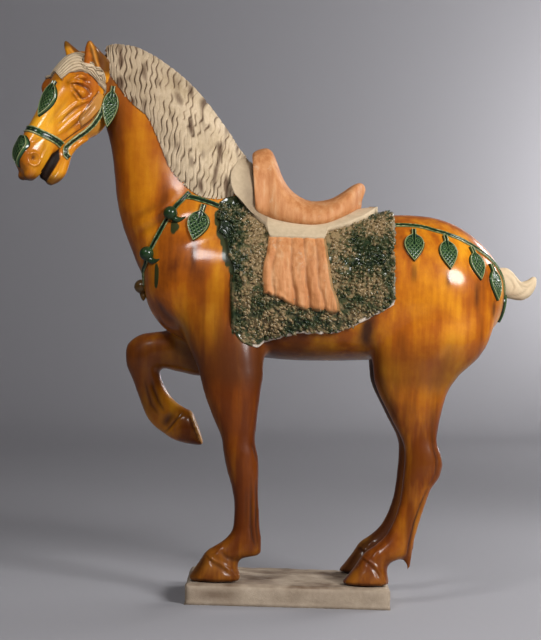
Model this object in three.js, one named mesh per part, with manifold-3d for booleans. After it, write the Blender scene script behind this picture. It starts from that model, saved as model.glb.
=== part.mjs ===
// A glazed pottery horse of the kind placed in Chinese tombs. It stands on a thin slab with one foreleg
// raised, faces -X and turns its head to its left, which is -Y. Z is up, and the origin is on the slab's
// underside, near its middle. Lengths are in millimetres.
import * as THREE from "three";
import { LoftGeometry } from "three/addons/geometries/LoftGeometry.js";
import { mergeVertices } from "three/addons/utils/BufferGeometryUtils.js";
import Module from "manifold-3d";

const wasm = await Module();
wasm.setup();

// Driving dimensions
const HORSE_HEIGHT = 709; // soles to ear tips
const PLINTH_THICKNESS = 28;
const PLINTH_END_MARGIN = 1; // slab beyond the toes and heels
const PLINTH_SIDE_MARGIN = 6; // slab beyond the sides of the hooves
const BEDDING_GAP = 0.3; // between the soles and the slab
const HEAD_TURN = 30; // degrees, towards the horse's left
const MANE_THICKNESS = 5;
const MANE_GROOVE = 3;
const MANE_LOCKS = 15;
const FORELOCK_THICKNESS = 4;
const RUG_THICKNESS = 6;
const PAD_THICKNESS = 8;
const CLOTH_THICKNESS = 15;
const CLOTH_FOLD_DEPTH = 3.2;
const CLOTH_FOLDS = 4;
const STRAP_WIDTH = 9;
const STRAP_THICKNESS = 3; // above the skin
const LEAF_LENGTH = 38;
const LEAF_WIDTH = 26;
const LEAF_THICKNESS = 4.5;
const LEAF_STEM = 0.6; // share of half the leaf's length
const BELL_RADIUS = 9;
const EYE_SIZE = [24, 19, 18];
const BROW_SIZE = [34, 22, 13];
const NOSTRIL_SIZE = [15, 11, 5];
const EYE_PLACE = [-308, -26, 661]; // on the drawn head, before it is turned
const BROW_PLACE = [-309, -24, 678];
const NOSTRIL_PLACE = [-366, -16.5, 571];
const NECK_JOINT = [-268, -14, 0]; // the head turns about an upright line here
const TAIL_LEAF_PLACE = [281, 0, 396];
const VENT_LENGTH = 68; // opening under the belly that lets steam out in the kiln
const VENT_WIDTH = 36;
const VENT_DEPTH = 10;
const VENT_PLACE = [22, -12, 318];

// The figure is drawn as a horse 709 mm tall, with heights measured from the underside of a 28 mm slab.
const DRAWN_HEIGHT = 709;
const DRAWN_SOLE = 28.3;
const SCALE = HORSE_HEIGHT / DRAWN_HEIGHT;
const MIRROR = new THREE.Matrix4().makeScale(1, -1, 1);
const UPWARD = new THREE.Vector3(0, 0, 1);
const LEFT = -1;
const RIGHT = 1;

const at = (x, y, z) => new THREE.Vector3(x, y, z - DRAWN_SOLE).multiplyScalar(SCALE);
const power = (value, exponent) => Math.sign(value) * Math.abs(value) ** exponent;
const mix = THREE.MathUtils.lerp;

// A closed geometry as a solid, turned right side out.
function solid(geometry) {
  const bare = new THREE.BufferGeometry().copy(geometry);
  bare.deleteAttribute("normal");
  bare.deleteAttribute("uv");
  const merged = mergeVertices(bare, 1e-4);
  const triVerts = new Uint32Array(merged.index.array);
  const vertProperties = new Float32Array(merged.attributes.position.array);
  const build = () => new wasm.Manifold(new wasm.Mesh({ numProp: 3, vertProperties, triVerts }));
  const made = build();
  if (made.volume() > 0) return made;
  for (let i = 0; i < triVerts.length; i += 3) {
    [triVerts[i + 1], triVerts[i + 2]] = [triVerts[i + 2], triVerts[i + 1]];
  }
  return build();
}

// Twice the area of a section, as a vector square to it.
function sectionArea(section) {
  const area = new THREE.Vector3();
  const centre = middleOf(section);
  section.forEach((point, i) => {
    const next = section[(i + 1) % section.length];
    area.add(point.clone().sub(centre).cross(next.clone().sub(centre)));
  });
  return area;
}

function middleOf(section) {
  return section.reduce((sum, point) => sum.add(point), new THREE.Vector3()).divideScalar(section.length);
}

// Sections skinned from first to last and capped, each turned to wind the way that a loft needs.
function loft(sections) {
  const onward = middleOf(sections[1]).sub(middleOf(sections[0]));
  const backward = sectionArea(sections[0]).dot(onward) < 0;
  const turned = backward ? sections.map((section) => [...section].reverse()) : sections;
  return new LoftGeometry(turned, { capStart: true, capEnd: true });
}

function geometryOf(manifold) {
  const mesh = manifold.getMesh();
  const geometry = new THREE.BufferGeometry();
  geometry.setAttribute("position", new THREE.BufferAttribute(new Float32Array(mesh.vertProperties), 3));
  geometry.setIndex(new THREE.BufferAttribute(new Uint32Array(mesh.triVerts), 1));
  return geometry;
}

const join = (pieces) => pieces.reduce((whole, piece) => whole.add(piece));

// A limb is skinned over stations [ax, az, bx, bz, y, halfWidth]: the outline passes through a on one side
// and b on the other. egg widens the a side, and squareness above 2 fills the corners of each section.
function limbSurface(stations, { egg = 0, squareness = 2 } = {}) {
  const along = (points) => new THREE.CatmullRomCurve3(points, false, "catmullrom", 0.5);
  const aLine = along(stations.map(([ax, az, , , y]) => new THREE.Vector3(ax, y, az)));
  const bLine = along(stations.map(([, , bx, bz, y]) => new THREE.Vector3(bx, y, bz)));
  const widths = along(stations.map((s) => new THREE.Vector3(s[5], 0, 0)));
  return (t, angle, lift = 0) => {
    const a = aLine.getPoint(t);
    const b = bLine.getPoint(t);
    const middle = a.clone().add(b).multiplyScalar(0.5);
    const half = a.clone().sub(b).multiplyScalar(0.5);
    const c = power(Math.cos(angle), 2 / squareness);
    const s = power(Math.sin(angle), 2 / squareness);
    const reach = (half.length() + lift) / half.length();
    const width = widths.getPoint(t).x * (1 + egg * Math.cos(angle)) + lift;
    const point = middle.addScaledVector(half, c * reach);
    return at(point.x, point.y + s * width, point.z);
  };
}

function limb(stations, { rings = stations.length - 1, sides = 10, ...shape } = {}) {
  const surface = limbSurface(stations, shape);
  const sections = [];
  for (let i = 0; i <= rings; i++) {
    const section = [];
    for (let k = 0; k < sides; k++) section.push(surface(i / rings, (k / sides) * 2 * Math.PI));
    sections.push(section);
  }
  return loft(sections);
}

// The barrel from breast to buttocks, in upright sections [x, top, bottom, halfWidth].
const TRUNK_SECTIONS = [
  [-201, 452, 408, 14],
  [-196, 472, 388, 33],
  [-184, 492, 367, 51],
  [-165, 503, 350, 63],
  [-135, 511, 337, 72],
  [-95, 513, 327, 77],
  [-45, 506, 320, 80],
  [10, 503, 317, 81],
  [60, 507, 318, 82],
  [100, 513, 320, 84],
  [140, 517, 322, 87],
  [180, 515, 324, 87],
  [215, 504, 330, 82],
  [245, 484, 346, 69],
  [265, 463, 362, 53],
  [276, 446, 380, 35],
  [281, 430, 398, 14],
];
const TRUNK = TRUNK_SECTIONS.map(([x, top, bottom, width]) => [x, top, x, bottom, 0, width]);
const TRUNK_AXIS = 420;
const TRUNK_SHAPE = { egg: -0.08, squareness: 2.15 };

// The neck, from the withers up to the poll, with its crest as the a side.
const NECK = [
  [-44, 545, -58, 390, 0, 52],
  [-62, 568, -203, 425, 0, 60],
  [-76, 587, -219, 458, 0, 57],
  [-94, 613, -233, 492, 0, 49],
  [-116, 641, -242, 530, 0, 42],
  [-140, 668, -246, 565, -2, 37],
  [-168, 692, -250, 592, -5, 33.5],
  [-200, 712, -256, 614, -9, 30],
  [-232, 722, -263, 636, -13, 27],
  [-262, 720, -274, 662, -16, 22],
];

// The head before it is turned, from the poll to the upper lip, with the forehead as the a side.
const HEAD = [
  [-262, 716, -250, 656, 0, 20],
  [-290, 720, -258, 624, 0, 27],
  [-312, 709, -272, 608, 0, 31],
  [-325, 695, -287, 602, 0, 31],
  [-335, 679, -300, 596, 0, 27],
  [-345, 659, -313, 589, 0, 22.5],
  [-355, 636, -326, 582, 0, 18.5],
  [-365, 617, -336, 573, 0, 17],
  [-375, 600, -343, 563, 0, 17],
  [-382, 586, -350, 554, 0, 18.5],
  [-383, 572, -355, 548, 0, 17.5],
  [-377, 559, -361, 543, 0, 13],
  [-371, 550, -366, 545, 0, 5],
];
const JAW = [
  [-298, 604, -282, 602, 0, 17],
  [-314, 594, -298, 590, 0, 16],
  [-323, 581, -307, 577, 0, 14],
  [-328, 568, -309.5, 565, 0, 13],
  [-332, 557, -313.5, 554, 0, 12.5],
  [-337, 549, -322, 544, 0, 11],
  [-340, 543, -333, 538.5, 0, 6],
];
const HEAD_PIVOT = at(...NECK_JOINT);
const HEAD_FRAME = new THREE.Matrix4()
  .makeTranslation(HEAD_PIVOT.x, HEAD_PIVOT.y, 0)
  .multiply(new THREE.Matrix4().makeRotationZ(THREE.MathUtils.degToRad(HEAD_TURN)))
  .multiply(new THREE.Matrix4().makeTranslation(-HEAD_PIVOT.x, 0, 0));

// Standing legs of the left side, from inside the trunk to the coronet. The front outline is the a side.
const FORELEG = [
  [-150, 444, -78, 440, -34, 24],
  [-160, 398, -54, 384, -41, 34],
  [-143, 341, -36, 333, -47, 32],
  [-124, 303, -37, 303, -54, 27],
  [-114, 270, -41, 270, -58, 24],
  [-101, 238, -44, 238, -60, 20.5],
  [-90, 213, -46, 213, -61, 18.5],
  [-87, 194, -42, 194, -62, 19],
  [-82, 172, -40, 173, -62, 18],
  [-75, 150, -40, 150, -62, 15],
  [-71, 123, -38.5, 123, -63, 13.5],
  [-72, 99, -36.5, 99, -63, 14],
  [-81, 84, -34, 82, -64, 15.5],
  [-97, 73, -34, 65, -64, 16.5],
  [-107, 66, -62, 57, -64, 17.5],
  [-109, 58, -64, 49, -64, 17.5],
];
const HIND_LEG = [
  [140, 450, 236, 436, -34, 24],
  [113, 405, 266, 382, -42, 38],
  [104, 362, 259, 346, -47, 39],
  [103, 331, 240, 322, -51, 34],
  [105, 304, 217, 301, -55, 28],
  [111, 283, 205, 283, -57, 25],
  [124, 258, 197.5, 257, -59, 22],
  [135, 237, 193, 233, -60, 19],
  [145, 219, 191.5, 218, -61, 17.5],
  [149.5, 203, 196.5, 203, -62, 18],
  [149.5, 187, 200, 187, -62, 18.5],
  [148, 170, 196, 170, -62, 17.5],
  [147, 155, 186, 156, -62, 15],
  [144.5, 137, 180, 138, -62, 13.5],
  [140, 120, 174.5, 121, -63, 13],
  [133, 103, 170, 105, -63, 13.5],
  [124, 89, 166, 90, -63, 15],
  [111, 78, 160, 70, -64, 16.5],
  [100, 70, 134, 57, -64, 17],
  [97, 62, 131, 51, -64, 17],
];
const HIND_SPUR = [
  [146, 104, 168, 104, -63, 8],
  [148, 76, 164.5, 76, -63, 7],
  [154, 58, 162.5, 60, -63, 4.5],
  [157, 48, 160.5, 50, -63, 2],
];
const FORE_HOOF = [
  [-106, 67, -64, 56, -64, 17],
  [-113, 56, -64, 48, -64, 19],
  [-122, 42, -61, 38, -64, 23],
  [-131, DRAWN_SOLE, -59, DRAWN_SOLE, -64, 25.5],
];
const HIND_HOOF = [
  [99, 69, 130, 57, -64, 16.5],
  [91, 56, 131, 47, -64, 19],
  [81, 42, 133, 37, -64, 22.5],
  [70, DRAWN_SOLE, 134, DRAWN_SOLE, -64, 25],
];

// The raised foreleg of the right side, with the front of the leg as the a side.
const RAISED_LEG = [
  [-122, 432, -52, 400, 34, 24],
  [-142, 396, -62, 344, 38, 33],
  [-155, 368, -90, 301, 43, 31],
  [-170, 353, -124, 291, 47, 27],
  [-188, 350, -146, 295, 49, 24.5],
  [-202, 348, -163, 298, 50, 22.5],
  [-215, 342, -173, 301, 50, 21.5],
  [-227, 326, -179, 300, 50, 21],
  [-226, 307, -179, 295, 50, 19.5],
  [-218, 288, -175, 283, 50, 17],
  [-210, 268, -168, 270, 50, 15],
  [-203, 250, -157, 257, 50, 15],
  [-197, 236, -149, 251, 50, 16],
  [-186, 222, -143, 248, 50, 16],
  [-172, 212, -141, 246, 50, 16],
];
const RAISED_HOOF = [
  [-173, 213, -142, 246, 50, 16.5],
  [-159, 204, -139, 246, 50, 18.5],
  [-140, 199, -136, 245, 50, 22],
  [-115, 196, -133, 243, 50, 23],
];
const TAIL = [
  [262, 448, 268, 412, 0, 12],
  [281, 449, 283, 409, 0, 14],
  [291, 444, 292, 407, 0, 14],
  [298, 436, 303, 406, 0, 12],
  [304, 431, 312, 409, 0, 10],
  [311, 433, 319.5, 417, 0, 8],
  [318, 437.5, 323.5, 427, 0, 5.5],
  [322, 438, 324, 434, 0, 2],
];

const moved = (geometry, matrix) => new THREE.BufferGeometry().copy(geometry).applyMatrix4(matrix);

function bothSides(geometry) {
  return [solid(geometry), solid(moved(geometry, MIRROR))];
}

function makeHooves() {
  const hoof = { sides: 8, squareness: 2.4 };
  return [
    solid(limb(FORE_HOOF, hoof)),
    ...bothSides(limb(HIND_HOOF, hoof)),
    solid(limb(RAISED_HOOF, hoof)),
  ];
}

function makeLegs() {
  const leg = { sides: 8, squareness: 2.1 };
  return [
    solid(limb(FORELEG, leg)),
    ...bothSides(limb(HIND_LEG, leg)),
    ...bothSides(limb(HIND_SPUR, { sides: 6 })),
    solid(limb(RAISED_LEG, leg)),
  ];
}

// Ears of the left side, hollowed in front by a smaller copy of the same shape.
const EAR = [
  [-300, 694, -263, 683, -22, 9],
  [-303, 711, -276, 702, -29, 9],
  [-303.5, 722, -289, 717, -33.5, 6],
  [-300.5, 730, -298, 729, -36, 1],
];
const EAR_HOLLOW = EAR.slice(0, 3).map(([ax, az, bx, bz, y, width]) => {
  const edge = 0.2 * (bx - ax);
  return [ax + edge, az + 6, bx - 2 * edge, bz + 6, y - 0.95 * width, 0.5 * width];
});

const RIGHT_EAR_SHIFT = new THREE.Matrix4().makeTranslation(-1 * SCALE, 2 * SCALE, 7 * SCALE);

// An ellipsoid of the head, with its length tipped down towards the nose.
function headBoss([x, y, z], [length, width, height], tip) {
  const boss = new THREE.SphereGeometry(1, 7, 4);
  boss.rotateX(Math.PI / 2);
  boss.scale((length / 2) * SCALE, (width / 2) * SCALE, (height / 2) * SCALE);
  boss.rotateY(THREE.MathUtils.degToRad(-tip));
  const centre = at(x, y, z);
  return boss.translate(centre.x, centre.y, centre.z);
}

// A nostril is a raised oval rim.
function nostrilRim([x, y, z], tip) {
  const [length, height, thickness] = NOSTRIL_SIZE;
  const rim = new THREE.TorusGeometry(1, thickness / length, 3, 8);
  rim.rotateX(Math.PI / 2);
  rim.scale((length / 2) * SCALE, (length / 2) * SCALE, (height / 2) * SCALE);
  rim.rotateY(THREE.MathUtils.degToRad(-tip));
  const centre = at(x, y, z);
  return rim.translate(centre.x, centre.y, centre.z);
}

function makeSkull() {
  const skull = solid(limb(HEAD, { sides: 12, squareness: 2.3 }));
  return skull.add(solid(limb(JAW, { sides: 8, squareness: 2.2 })));
}

function makeFace() {
  const features = [
    headBoss(EYE_PLACE, EYE_SIZE, 25),
    headBoss(BROW_PLACE, BROW_SIZE, 28),
    nostrilRim(NOSTRIL_PLACE, 60),
  ];
  const left = join(features.map(solid));
  const ear = solid(limb(EAR, { sides: 6 })).subtract(solid(limb(EAR_HOLLOW, { sides: 5 })));
  const rightEar = moved(moved(geometryOf(ear), MIRROR), RIGHT_EAR_SHIFT);
  return join([left, solid(moved(geometryOf(left), MIRROR)), ear, solid(rightEar)]);
}

const onTurnedHead = (manifold) => solid(moved(geometryOf(manifold), HEAD_FRAME));

function makeVent() {
  const vent = new THREE.CylinderGeometry(1, 1, 1, 14);
  vent.rotateX(Math.PI / 2);
  vent.scale((VENT_LENGTH / 2) * SCALE, (VENT_WIDTH / 2) * SCALE, 2 * VENT_DEPTH * SCALE);
  const middle = at(...VENT_PLACE);
  vent.translate(middle.x, middle.y, middle.z);
  return solid(vent);
}

function makeBody() {
  const trunk = solid(limb(TRUNK, { ...TRUNK_SHAPE, sides: 16 }));
  const neck = solid(limb(NECK, { egg: -0.14, sides: 12 }));
  const tail = solid(limb(TAIL, { sides: 8 }));
  const head = onTurnedHead(makeSkull().add(makeFace()));
  const whole = join([trunk, neck, tail, head, ...makeLegs(), ...makeHooves()]);
  return whole.subtract(makeVent());
}

// Where rays from outside first meet a body. beside looks square to the horse's length at a drawn x and z;
// around looks towards the trunk's axis, at an angle from straight up.
function skinFinder(manifold) {
  const bothFaces = new THREE.MeshBasicMaterial({ side: THREE.DoubleSide });
  const mesh = new THREE.Mesh(geometryOf(manifold), bothFaces);
  const caster = new THREE.Raycaster();
  const meet = (start, direction) => {
    caster.set(start, direction);
    const hit = caster.intersectObject(mesh)[0];
    const normal = hit.face.normal.clone();
    if (normal.dot(direction) > 0) normal.negate();
    return { point: hit.point, normal };
  };
  const far = 2 * HORSE_HEIGHT;
  const beside = (x, z, side) => meet(at(x, 0, z).setY(side * far), new THREE.Vector3(0, -side, 0));
  const around = (x, angle, lift) => {
    const inward = new THREE.Vector3(0, -Math.sin(angle), -Math.cos(angle));
    const { point } = meet(at(x, 0, TRUNK_AXIS).addScaledVector(inward, -far), inward);
    return point.addScaledVector(inward, -lift * SCALE);
  };
  return { beside, around };
}

// The angle from straight up at which a cover lifted off the skin comes down to a height on one side.
function angleAtHeight(skin, x, z, lift, side) {
  const height = at(0, 0, z).z;
  let low = 0;
  let high = 0.85 * Math.PI;
  for (let step = 0; step < 12; step++) {
    const angle = (low + high) / 2;
    if (skin.around(x, side * angle, lift).z > height) low = angle;
    else high = angle;
  }
  return low;
}

// A cover lies over the back in columns [x, top, bottom]. It hangs down to the bottom heights, and where
// top is below the spine it starts there on each side and leaves the back bare.
function backCover(skin, columns, { lift, rows }) {
  const sections = columns.map(([x, top, bottom]) => {
    const outer = [];
    const inner = [];
    for (let k = -rows; k <= rows; k++) {
      const side = Math.sign(k);
      const start = angleAtHeight(skin, x, top, lift, side);
      const end = Math.max(start + 0.02, angleAtHeight(skin, x, bottom, lift, side));
      const bare = top < SPINE;
      const fall = bare ? Math.max(0, Math.abs(k) - 1) / (rows - 1) : Math.abs(k) / rows;
      const angle = side * mix(start, end, fall);
      outer.push(skin.around(x, angle, bare && k === 0 ? -2 * lift : lift));
      if (k % 2 === 0) inner.push(skin.around(x, angle, -2.5 * lift));
    }
    return [...outer, ...inner.reverse()];
  });
  return solid(loft(sections));
}

const SPINE = DRAWN_HEIGHT;
const RUG_COLUMNS = [
  [-103, 523, 481],
  [-94, 529, 447],
  [-81, 532, 438],
  [-76, 533, 347],
  [-61, SPINE, 337],
  [-46, SPINE, 334],
  [-36, SPINE, 341],
  [-8, SPINE, 349],
  [22, SPINE, 353],
  [50, SPINE, 355],
  [68, SPINE, 361],
  [93, SPINE, 374],
  [118, SPINE, 388],
  [127, SPINE, 396],
];
const PAD_COLUMNS = [
  [-56, SPINE, 508],
  [-38, SPINE, 497],
  [-35, SPINE, 480],
  [2, SPINE, 480],
  [38, SPINE, 480],
  [41, SPINE, 493],
  [68, SPINE, 501],
  [90, SPINE, 512],
  [107, SPINE, 521],
];
const makeRug = (skin) => backCover(skin, RUG_COLUMNS, { lift: RUG_THICKNESS, rows: 6 });
const makePad = (skin) => backCover(skin, PAD_COLUMNS, { lift: RUG_THICKNESS + PAD_THICKNESS, rows: 4 });

// The pad's front rises round the pommel as a collar, made of arches [topX, topZ, footX, footZ, halfWidth,
// bulge]. The saddle is made the same way, from pommel to cantle.
const COLLAR_ARCHES = [
  [-71, 586, -64, 512, 62, 15],
  [-62, 588, -50, 503, 66, 11],
  [-46, 580, -36, 497, 68, 0],
];
const SADDLE_ARCHES = [
  [-56, 584, -50, 524, 60, 4],
  [-52, 594, -45, 512, 63, 1],
  [-42, 600, -39, 506, 65, 0],
  [-32, 593, -30, 501, 66, 0],
  [-23, 567, -20, 498, 67, 0],
  [-6, 543, -4, 497, 68, 0],
  [22, 530, 20, 496, 68, 0],
  [50, 537, 43, 501, 68, 0],
  [77, 555, 67, 514, 66, 0],
  [87, 556, 79, 523, 60, 0],
  [91, 548, 86, 530, 50, 0],
];

const SEAT_DEPTH = 26;
function archLoft(arches, { rows, boxiness }) {
  const sections = arches.map(([topX, topZ, footX, footZ, width, bulge]) => {
    const section = [];
    for (let k = -rows; k <= rows; k++) {
      const angle = (k / rows) * (Math.PI / 2);
      const up = Math.cos(angle) ** (2 / boxiness);
      const out = power(Math.sin(angle), 2 / boxiness);
      const x = mix(footX, topX, up) - bulge * Math.sin(2 * Math.abs(angle));
      section.push(at(x, out * width, mix(footZ, topZ, up)));
    }
    section.push(at(footX, 0.35 * width, footZ - SEAT_DEPTH));
    section.push(at(footX, -0.35 * width, footZ - SEAT_DEPTH));
    return section;
  });
  return solid(loft(sections));
}

// A cloth hangs from under the saddle on each side in upright folds. It is a patch laid on the rug, from
// the line where it is gathered down to a hem that is lower at the back.
function makeCloth(side, skin) {
  const columns = 4 * CLOTH_FOLDS;
  const rows = 4;
  const top = 481;
  const sections = [];
  for (let j = 0; j <= rows; j++) {
    const fall = j / rows;
    const outer = [];
    const inner = [];
    for (let i = 0; i <= columns; i++) {
      const across = i / columns;
      const left = mix(-36, -42, fall) - 2 * Math.sin(Math.PI * fall);
      const right = mix(38, 57, fall ** 1.6);
      const x = mix(left, right, across);
      const hem = mix(404, 383, across) + 1.5 * Math.cos(2 * Math.PI * CLOTH_FOLDS * across);
      const z = mix(top, hem, fall);
      const wave = 0.5 + 0.5 * Math.cos(2 * Math.PI * CLOTH_FOLDS * across);
      const groove = CLOTH_FOLD_DEPTH * mix(0.35, 1, fall) * wave;
      const edge = Math.min(1, 6 * across, 6 * (1 - across));
      const hemRound = fall === 1 ? 0.45 : 1;
      const proud = (CLOTH_THICKNESS - RUG_THICKNESS - groove) * edge * hemRound * mix(0.55, 1, fall);
      const y = skin.beside(x, z, side).point.y;
      outer.push(at(x, 0, z).setY(y + side * proud * SCALE));
      if (i % 4 === 0) inner.push(at(x, 0, z).setY(y - side * 4));
    }
    sections.push([...outer, ...inner.reverse()]);
  }
  return solid(loft(sections));
}

// The mane is combed down from the crest to its lower edge. Each pair is where one lock starts and ends.
const MANE_LOCK_LINES = [
  [-258, 728, -252, 688],
  [-244, 730, -241, 674],
  [-222, 728, -219, 652],
  [-198, 720, -199, 632],
  [-173, 705, -184, 600],
  [-149, 685, -168, 566],
  [-126, 662, -147, 543],
  [-101, 632, -122, 530],
  [-86, 610, -104, 528],
  [-74, 591, -84, 533],
];

function makeMane(skin) {
  const crest = new THREE.CatmullRomCurve3(MANE_LOCK_LINES.map(([x, z]) => new THREE.Vector3(x, 0, z)));
  const edge = new THREE.CatmullRomCurve3(MANE_LOCK_LINES.map(([, , x, z]) => new THREE.Vector3(x, 0, z)));
  const crestSway = (x) => -16 * THREE.MathUtils.smoothstep(-x, 120, 262);
  const rings = 2 * MANE_LOCKS;
  const rows = 5;
  const sections = [];
  for (let i = 0; i <= rings; i++) {
    const groove = i % 2 === 1 && i < rings ? MANE_GROOVE : 0;
    const section = [];
    for (const side of [LEFT, RIGHT]) {
      for (let k = 0; k <= rows; k++) {
        const angle = ((side === LEFT ? k : rows - k) / rows) * (Math.PI / 2);
        if (side === RIGHT && k === 0) continue;
        const sway = 0.012 * Math.sin((3 * Math.PI * k) / rows) * Math.sin(angle * 2);
        const u = THREE.MathUtils.clamp(i / rings + sway, 0, 1);
        const k0 = crest.getPoint(u);
        const e0 = edge.getPoint(u);
        const rise = Math.sin(angle);
        const foot = skin.beside(e0.x, e0.z, side).point.y / SCALE;
        const deep = groove * Math.min(1, 3 * Math.cos(angle) + 0.3);
        const width = foot - crestSway(e0.x) + side * (MANE_THICKNESS - deep);
        const x = mix(e0.x, k0.x, rise);
        const z = mix(e0.z, k0.z, rise) - (angle > 1 ? deep * 0.6 : 0);
        section.push(at(x, mix(crestSway(e0.x), crestSway(k0.x), rise) + width * Math.cos(angle), z));
      }
    }
    const e = edge.getPoint(i / rings);
    const inside = 0.55;
    for (const side of [RIGHT, LEFT]) {
      section.push(at(e.x, mix(crestSway(e.x), skin.beside(e.x, e.z, side).point.y / SCALE, inside), e.z));
    }
    sections.push(section);
  }
  return solid(loft(sections));
}

// The forelock is combed from the forehead to both sides and back behind the eyes.
function makeForelock() {
  const surface = limbSurface(HEAD, { squareness: 2.3 });
  const columns = 6;
  const rows = 3;
  const sections = [];
  for (let i = 0; i <= columns; i++) {
    const t = mix(0.04, 0.21, i / columns);
    const spread = mix(1.75, 1.0, (i / columns) ** 2);
    const lock = i % 2 === 0 ? 1 : 0.5;
    const section = [];
    for (let k = -rows; k <= rows; k++) {
      const sweep = 0.05 * (1 - Math.abs(k / rows)) ** 2;
      section.push(surface(t + sweep, (k / rows) * spread, FORELOCK_THICKNESS * lock));
    }
    for (let k = 1; k >= -1; k--) section.push(surface(t, k * spread, -8));
    sections.push(section);
  }
  return solid(loft(sections));
}

// A strap is a flat band swept along points on the skin, with its edges sunk into it.
function strap(points, { steps, width = STRAP_WIDTH }) {
  const line = new THREE.CatmullRomCurve3(points.map(([point]) => point));
  const outward = new THREE.CatmullRomCurve3(points.map(([, normal]) => normal));
  const sections = [];
  for (let i = 0; i <= steps; i++) {
    const centre = line.getPoint(i / steps);
    const out = outward.getPoint(i / steps).normalize();
    const across = new THREE.Vector3().crossVectors(line.getTangent(i / steps), out).normalize();
    const corner = (w, h) => {
      const shifted = centre.clone().addScaledVector(across, w * width);
      return shifted.addScaledVector(out, h * STRAP_THICKNESS);
    };
    sections.push([corner(-0.5, -1.7), corner(0.5, -1.7), corner(0.4, 1), corner(-0.4, 1)]);
  }
  return solid(loft(sections));
}

// A pendant leaf: a pointed plate with its tip at -Y, drawn out at +Y into a stem.
function leaf(length, width, stem) {
  const sides = 8;
  const layers = [[0.92, -1], [1, 0.4], [0.8, 0.9]];
  const sections = layers.map(([share, height]) =>
    [...Array(sides).keys()].map((k) => {
      const angle = (k / sides) * 2 * Math.PI;
      const x = (width / 2) * Math.sin(angle) * (1 + 0.15 * Math.cos(angle));
      const y = (length / 2) * (k === 0 ? 1 + stem : Math.cos(angle));
      return new THREE.Vector3(share * x, share * y, height * LEAF_THICKNESS);
    }),
  );
  return solid(loft(sections));
}

// Lays a leaf on the skin at a point, with its tip away from up.
function layLeaf(point, normal, options = {}) {
  const { length = LEAF_LENGTH, width = LEAF_WIDTH, stem = LEAF_STEM, up = UPWARD } = options;
  const out = normal.clone().normalize();
  const across = new THREE.Vector3().crossVectors(up, out).normalize();
  const along = new THREE.Vector3().crossVectors(out, across).normalize();
  const place = new THREE.Matrix4().makeBasis(across, along, out).setPosition(point);
  return solid(moved(geometryOf(leaf(length, width, stem)), place));
}

// A harness bell, half sunk in the strap.
function bell(point, normal) {
  const ball = new THREE.SphereGeometry(BELL_RADIUS, 7, 5);
  const centre = point.clone().addScaledVector(normal, BELL_RADIUS * 0.45);
  return solid(ball.translate(centre.x, centre.y, centre.z));
}

// Places of the harness, as [x, z] or [x, z, side] seen square to the horse's length.
const CHEEK_STRAP = [[-264, 668], [-274, 645], [-286, 624], [-301, 607], [-319, 590]];
const CHEEK_LEAVES = [[-250, 643, LEFT], [-280, 643, RIGHT]];
const BREAST_STRAP = [
  [-98, 517],
  [-118, 524],
  [-137, 528],
  [-152, 523],
  [-165, 508],
  [-177, 486],
  [-187, 466],
  [-194, 450],
  [-199, 430],
];
const BREAST_FRONT = [-203, 409];
const CRUPPER = [[120, 499], [154, 499], [183, 493], [212, 484.5], [240, 470], [259, 457], [271, 443]];
const CRUPPER_LEAVES = [[154, 470], [199, 461], [238, 448], [263, 426]];
const BELLS = [[-165, 507], [-193, 454]];
const BREAST_LEAF = [-129, 495];

function makeHarness(skin) {
  const onSkin = (x, z, side) => {
    const { point, normal } = skin.beside(x, z, side);
    return [point, normal];
  };
  const frontPoint = at(BREAST_FRONT[0], 0, BREAST_FRONT[1]);
  const forward = new THREE.Vector3(-1, 0, -0.25).normalize();
  const breast = [
    ...BREAST_STRAP.map(([x, z]) => onSkin(x, z, LEFT)),
    [frontPoint, forward],
    ...BREAST_STRAP.map(([x, z]) => onSkin(x, z, RIGHT)).reverse(),
  ];
  const tailLeaf = layLeaf(at(...TAIL_LEAF_PLACE), new THREE.Vector3(1, 0, -0.15));
  const parts = [strap(breast, { steps: 16 }), bell(frontPoint, forward), tailLeaf];
  for (const [x, z, side] of CHEEK_LEAVES) {
    const facing = new THREE.Vector3(0.15, side, 0.1).normalize();
    parts.push(layLeaf(skin.beside(x, z, side).point, facing, { length: 46, width: 21 }));
  }
  for (const side of [LEFT, RIGHT]) {
    parts.push(strap(CRUPPER.map(([x, z]) => onSkin(x, z, side)), { steps: 8 }));
    for (const [x, z] of CRUPPER_LEAVES) parts.push(layLeaf(...onSkin(x, z, side)));
    for (const [x, z] of BELLS) parts.push(bell(...onSkin(x, z, side)));
    parts.push(layLeaf(...onSkin(...BREAST_LEAF, side), { up: new THREE.Vector3(0.25, 0, 1) }));
  }
  return parts;
}

// The bridle: a noseband, a strap along each cheek, a leaf on the brow and one on the nose.
function makeBridle() {
  const surface = limbSurface(HEAD, { squareness: 2.3 });
  const skin = skinFinder(makeSkull());
  const noseTurns = [...Array(9).keys()].map((k) => {
    const angle = (k / 4 - 1) * 1.95;
    const t = 0.62 - 0.07 * Math.abs(angle);
    const point = surface(t, angle);
    return [point, point.clone().sub(surface(t, 0).lerp(surface(t, Math.PI), 0.5)).normalize()];
  });
  const parts = [strap(noseTurns, { steps: 10, width: 8 })];
  for (const side of [LEFT, RIGHT]) {
    const cheek = CHEEK_STRAP.map(([x, z]) => {
      const { point, normal } = skin.beside(x, z, side);
      return [point, normal];
    });
    parts.push(strap(cheek, { steps: 6, width: 7 }));
  }
  const onRidge = (t, sink, length, width, stem) => {
    const point = surface(t, 0, -sink * LEAF_THICKNESS);
    const up = surface(t - 0.04, 0).sub(surface(t + 0.04, 0));
    const out = new THREE.Vector3(-up.z, 0, up.x);
    return layLeaf(point, out.normalize(), { length, width, stem, up });
  };
  parts.push(onRidge(0.43, 0.8, 46, 26, 0.5), onRidge(0.81, 1.1, 32, 27, 0));
  return parts.map(onTurnedHead);
}

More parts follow.
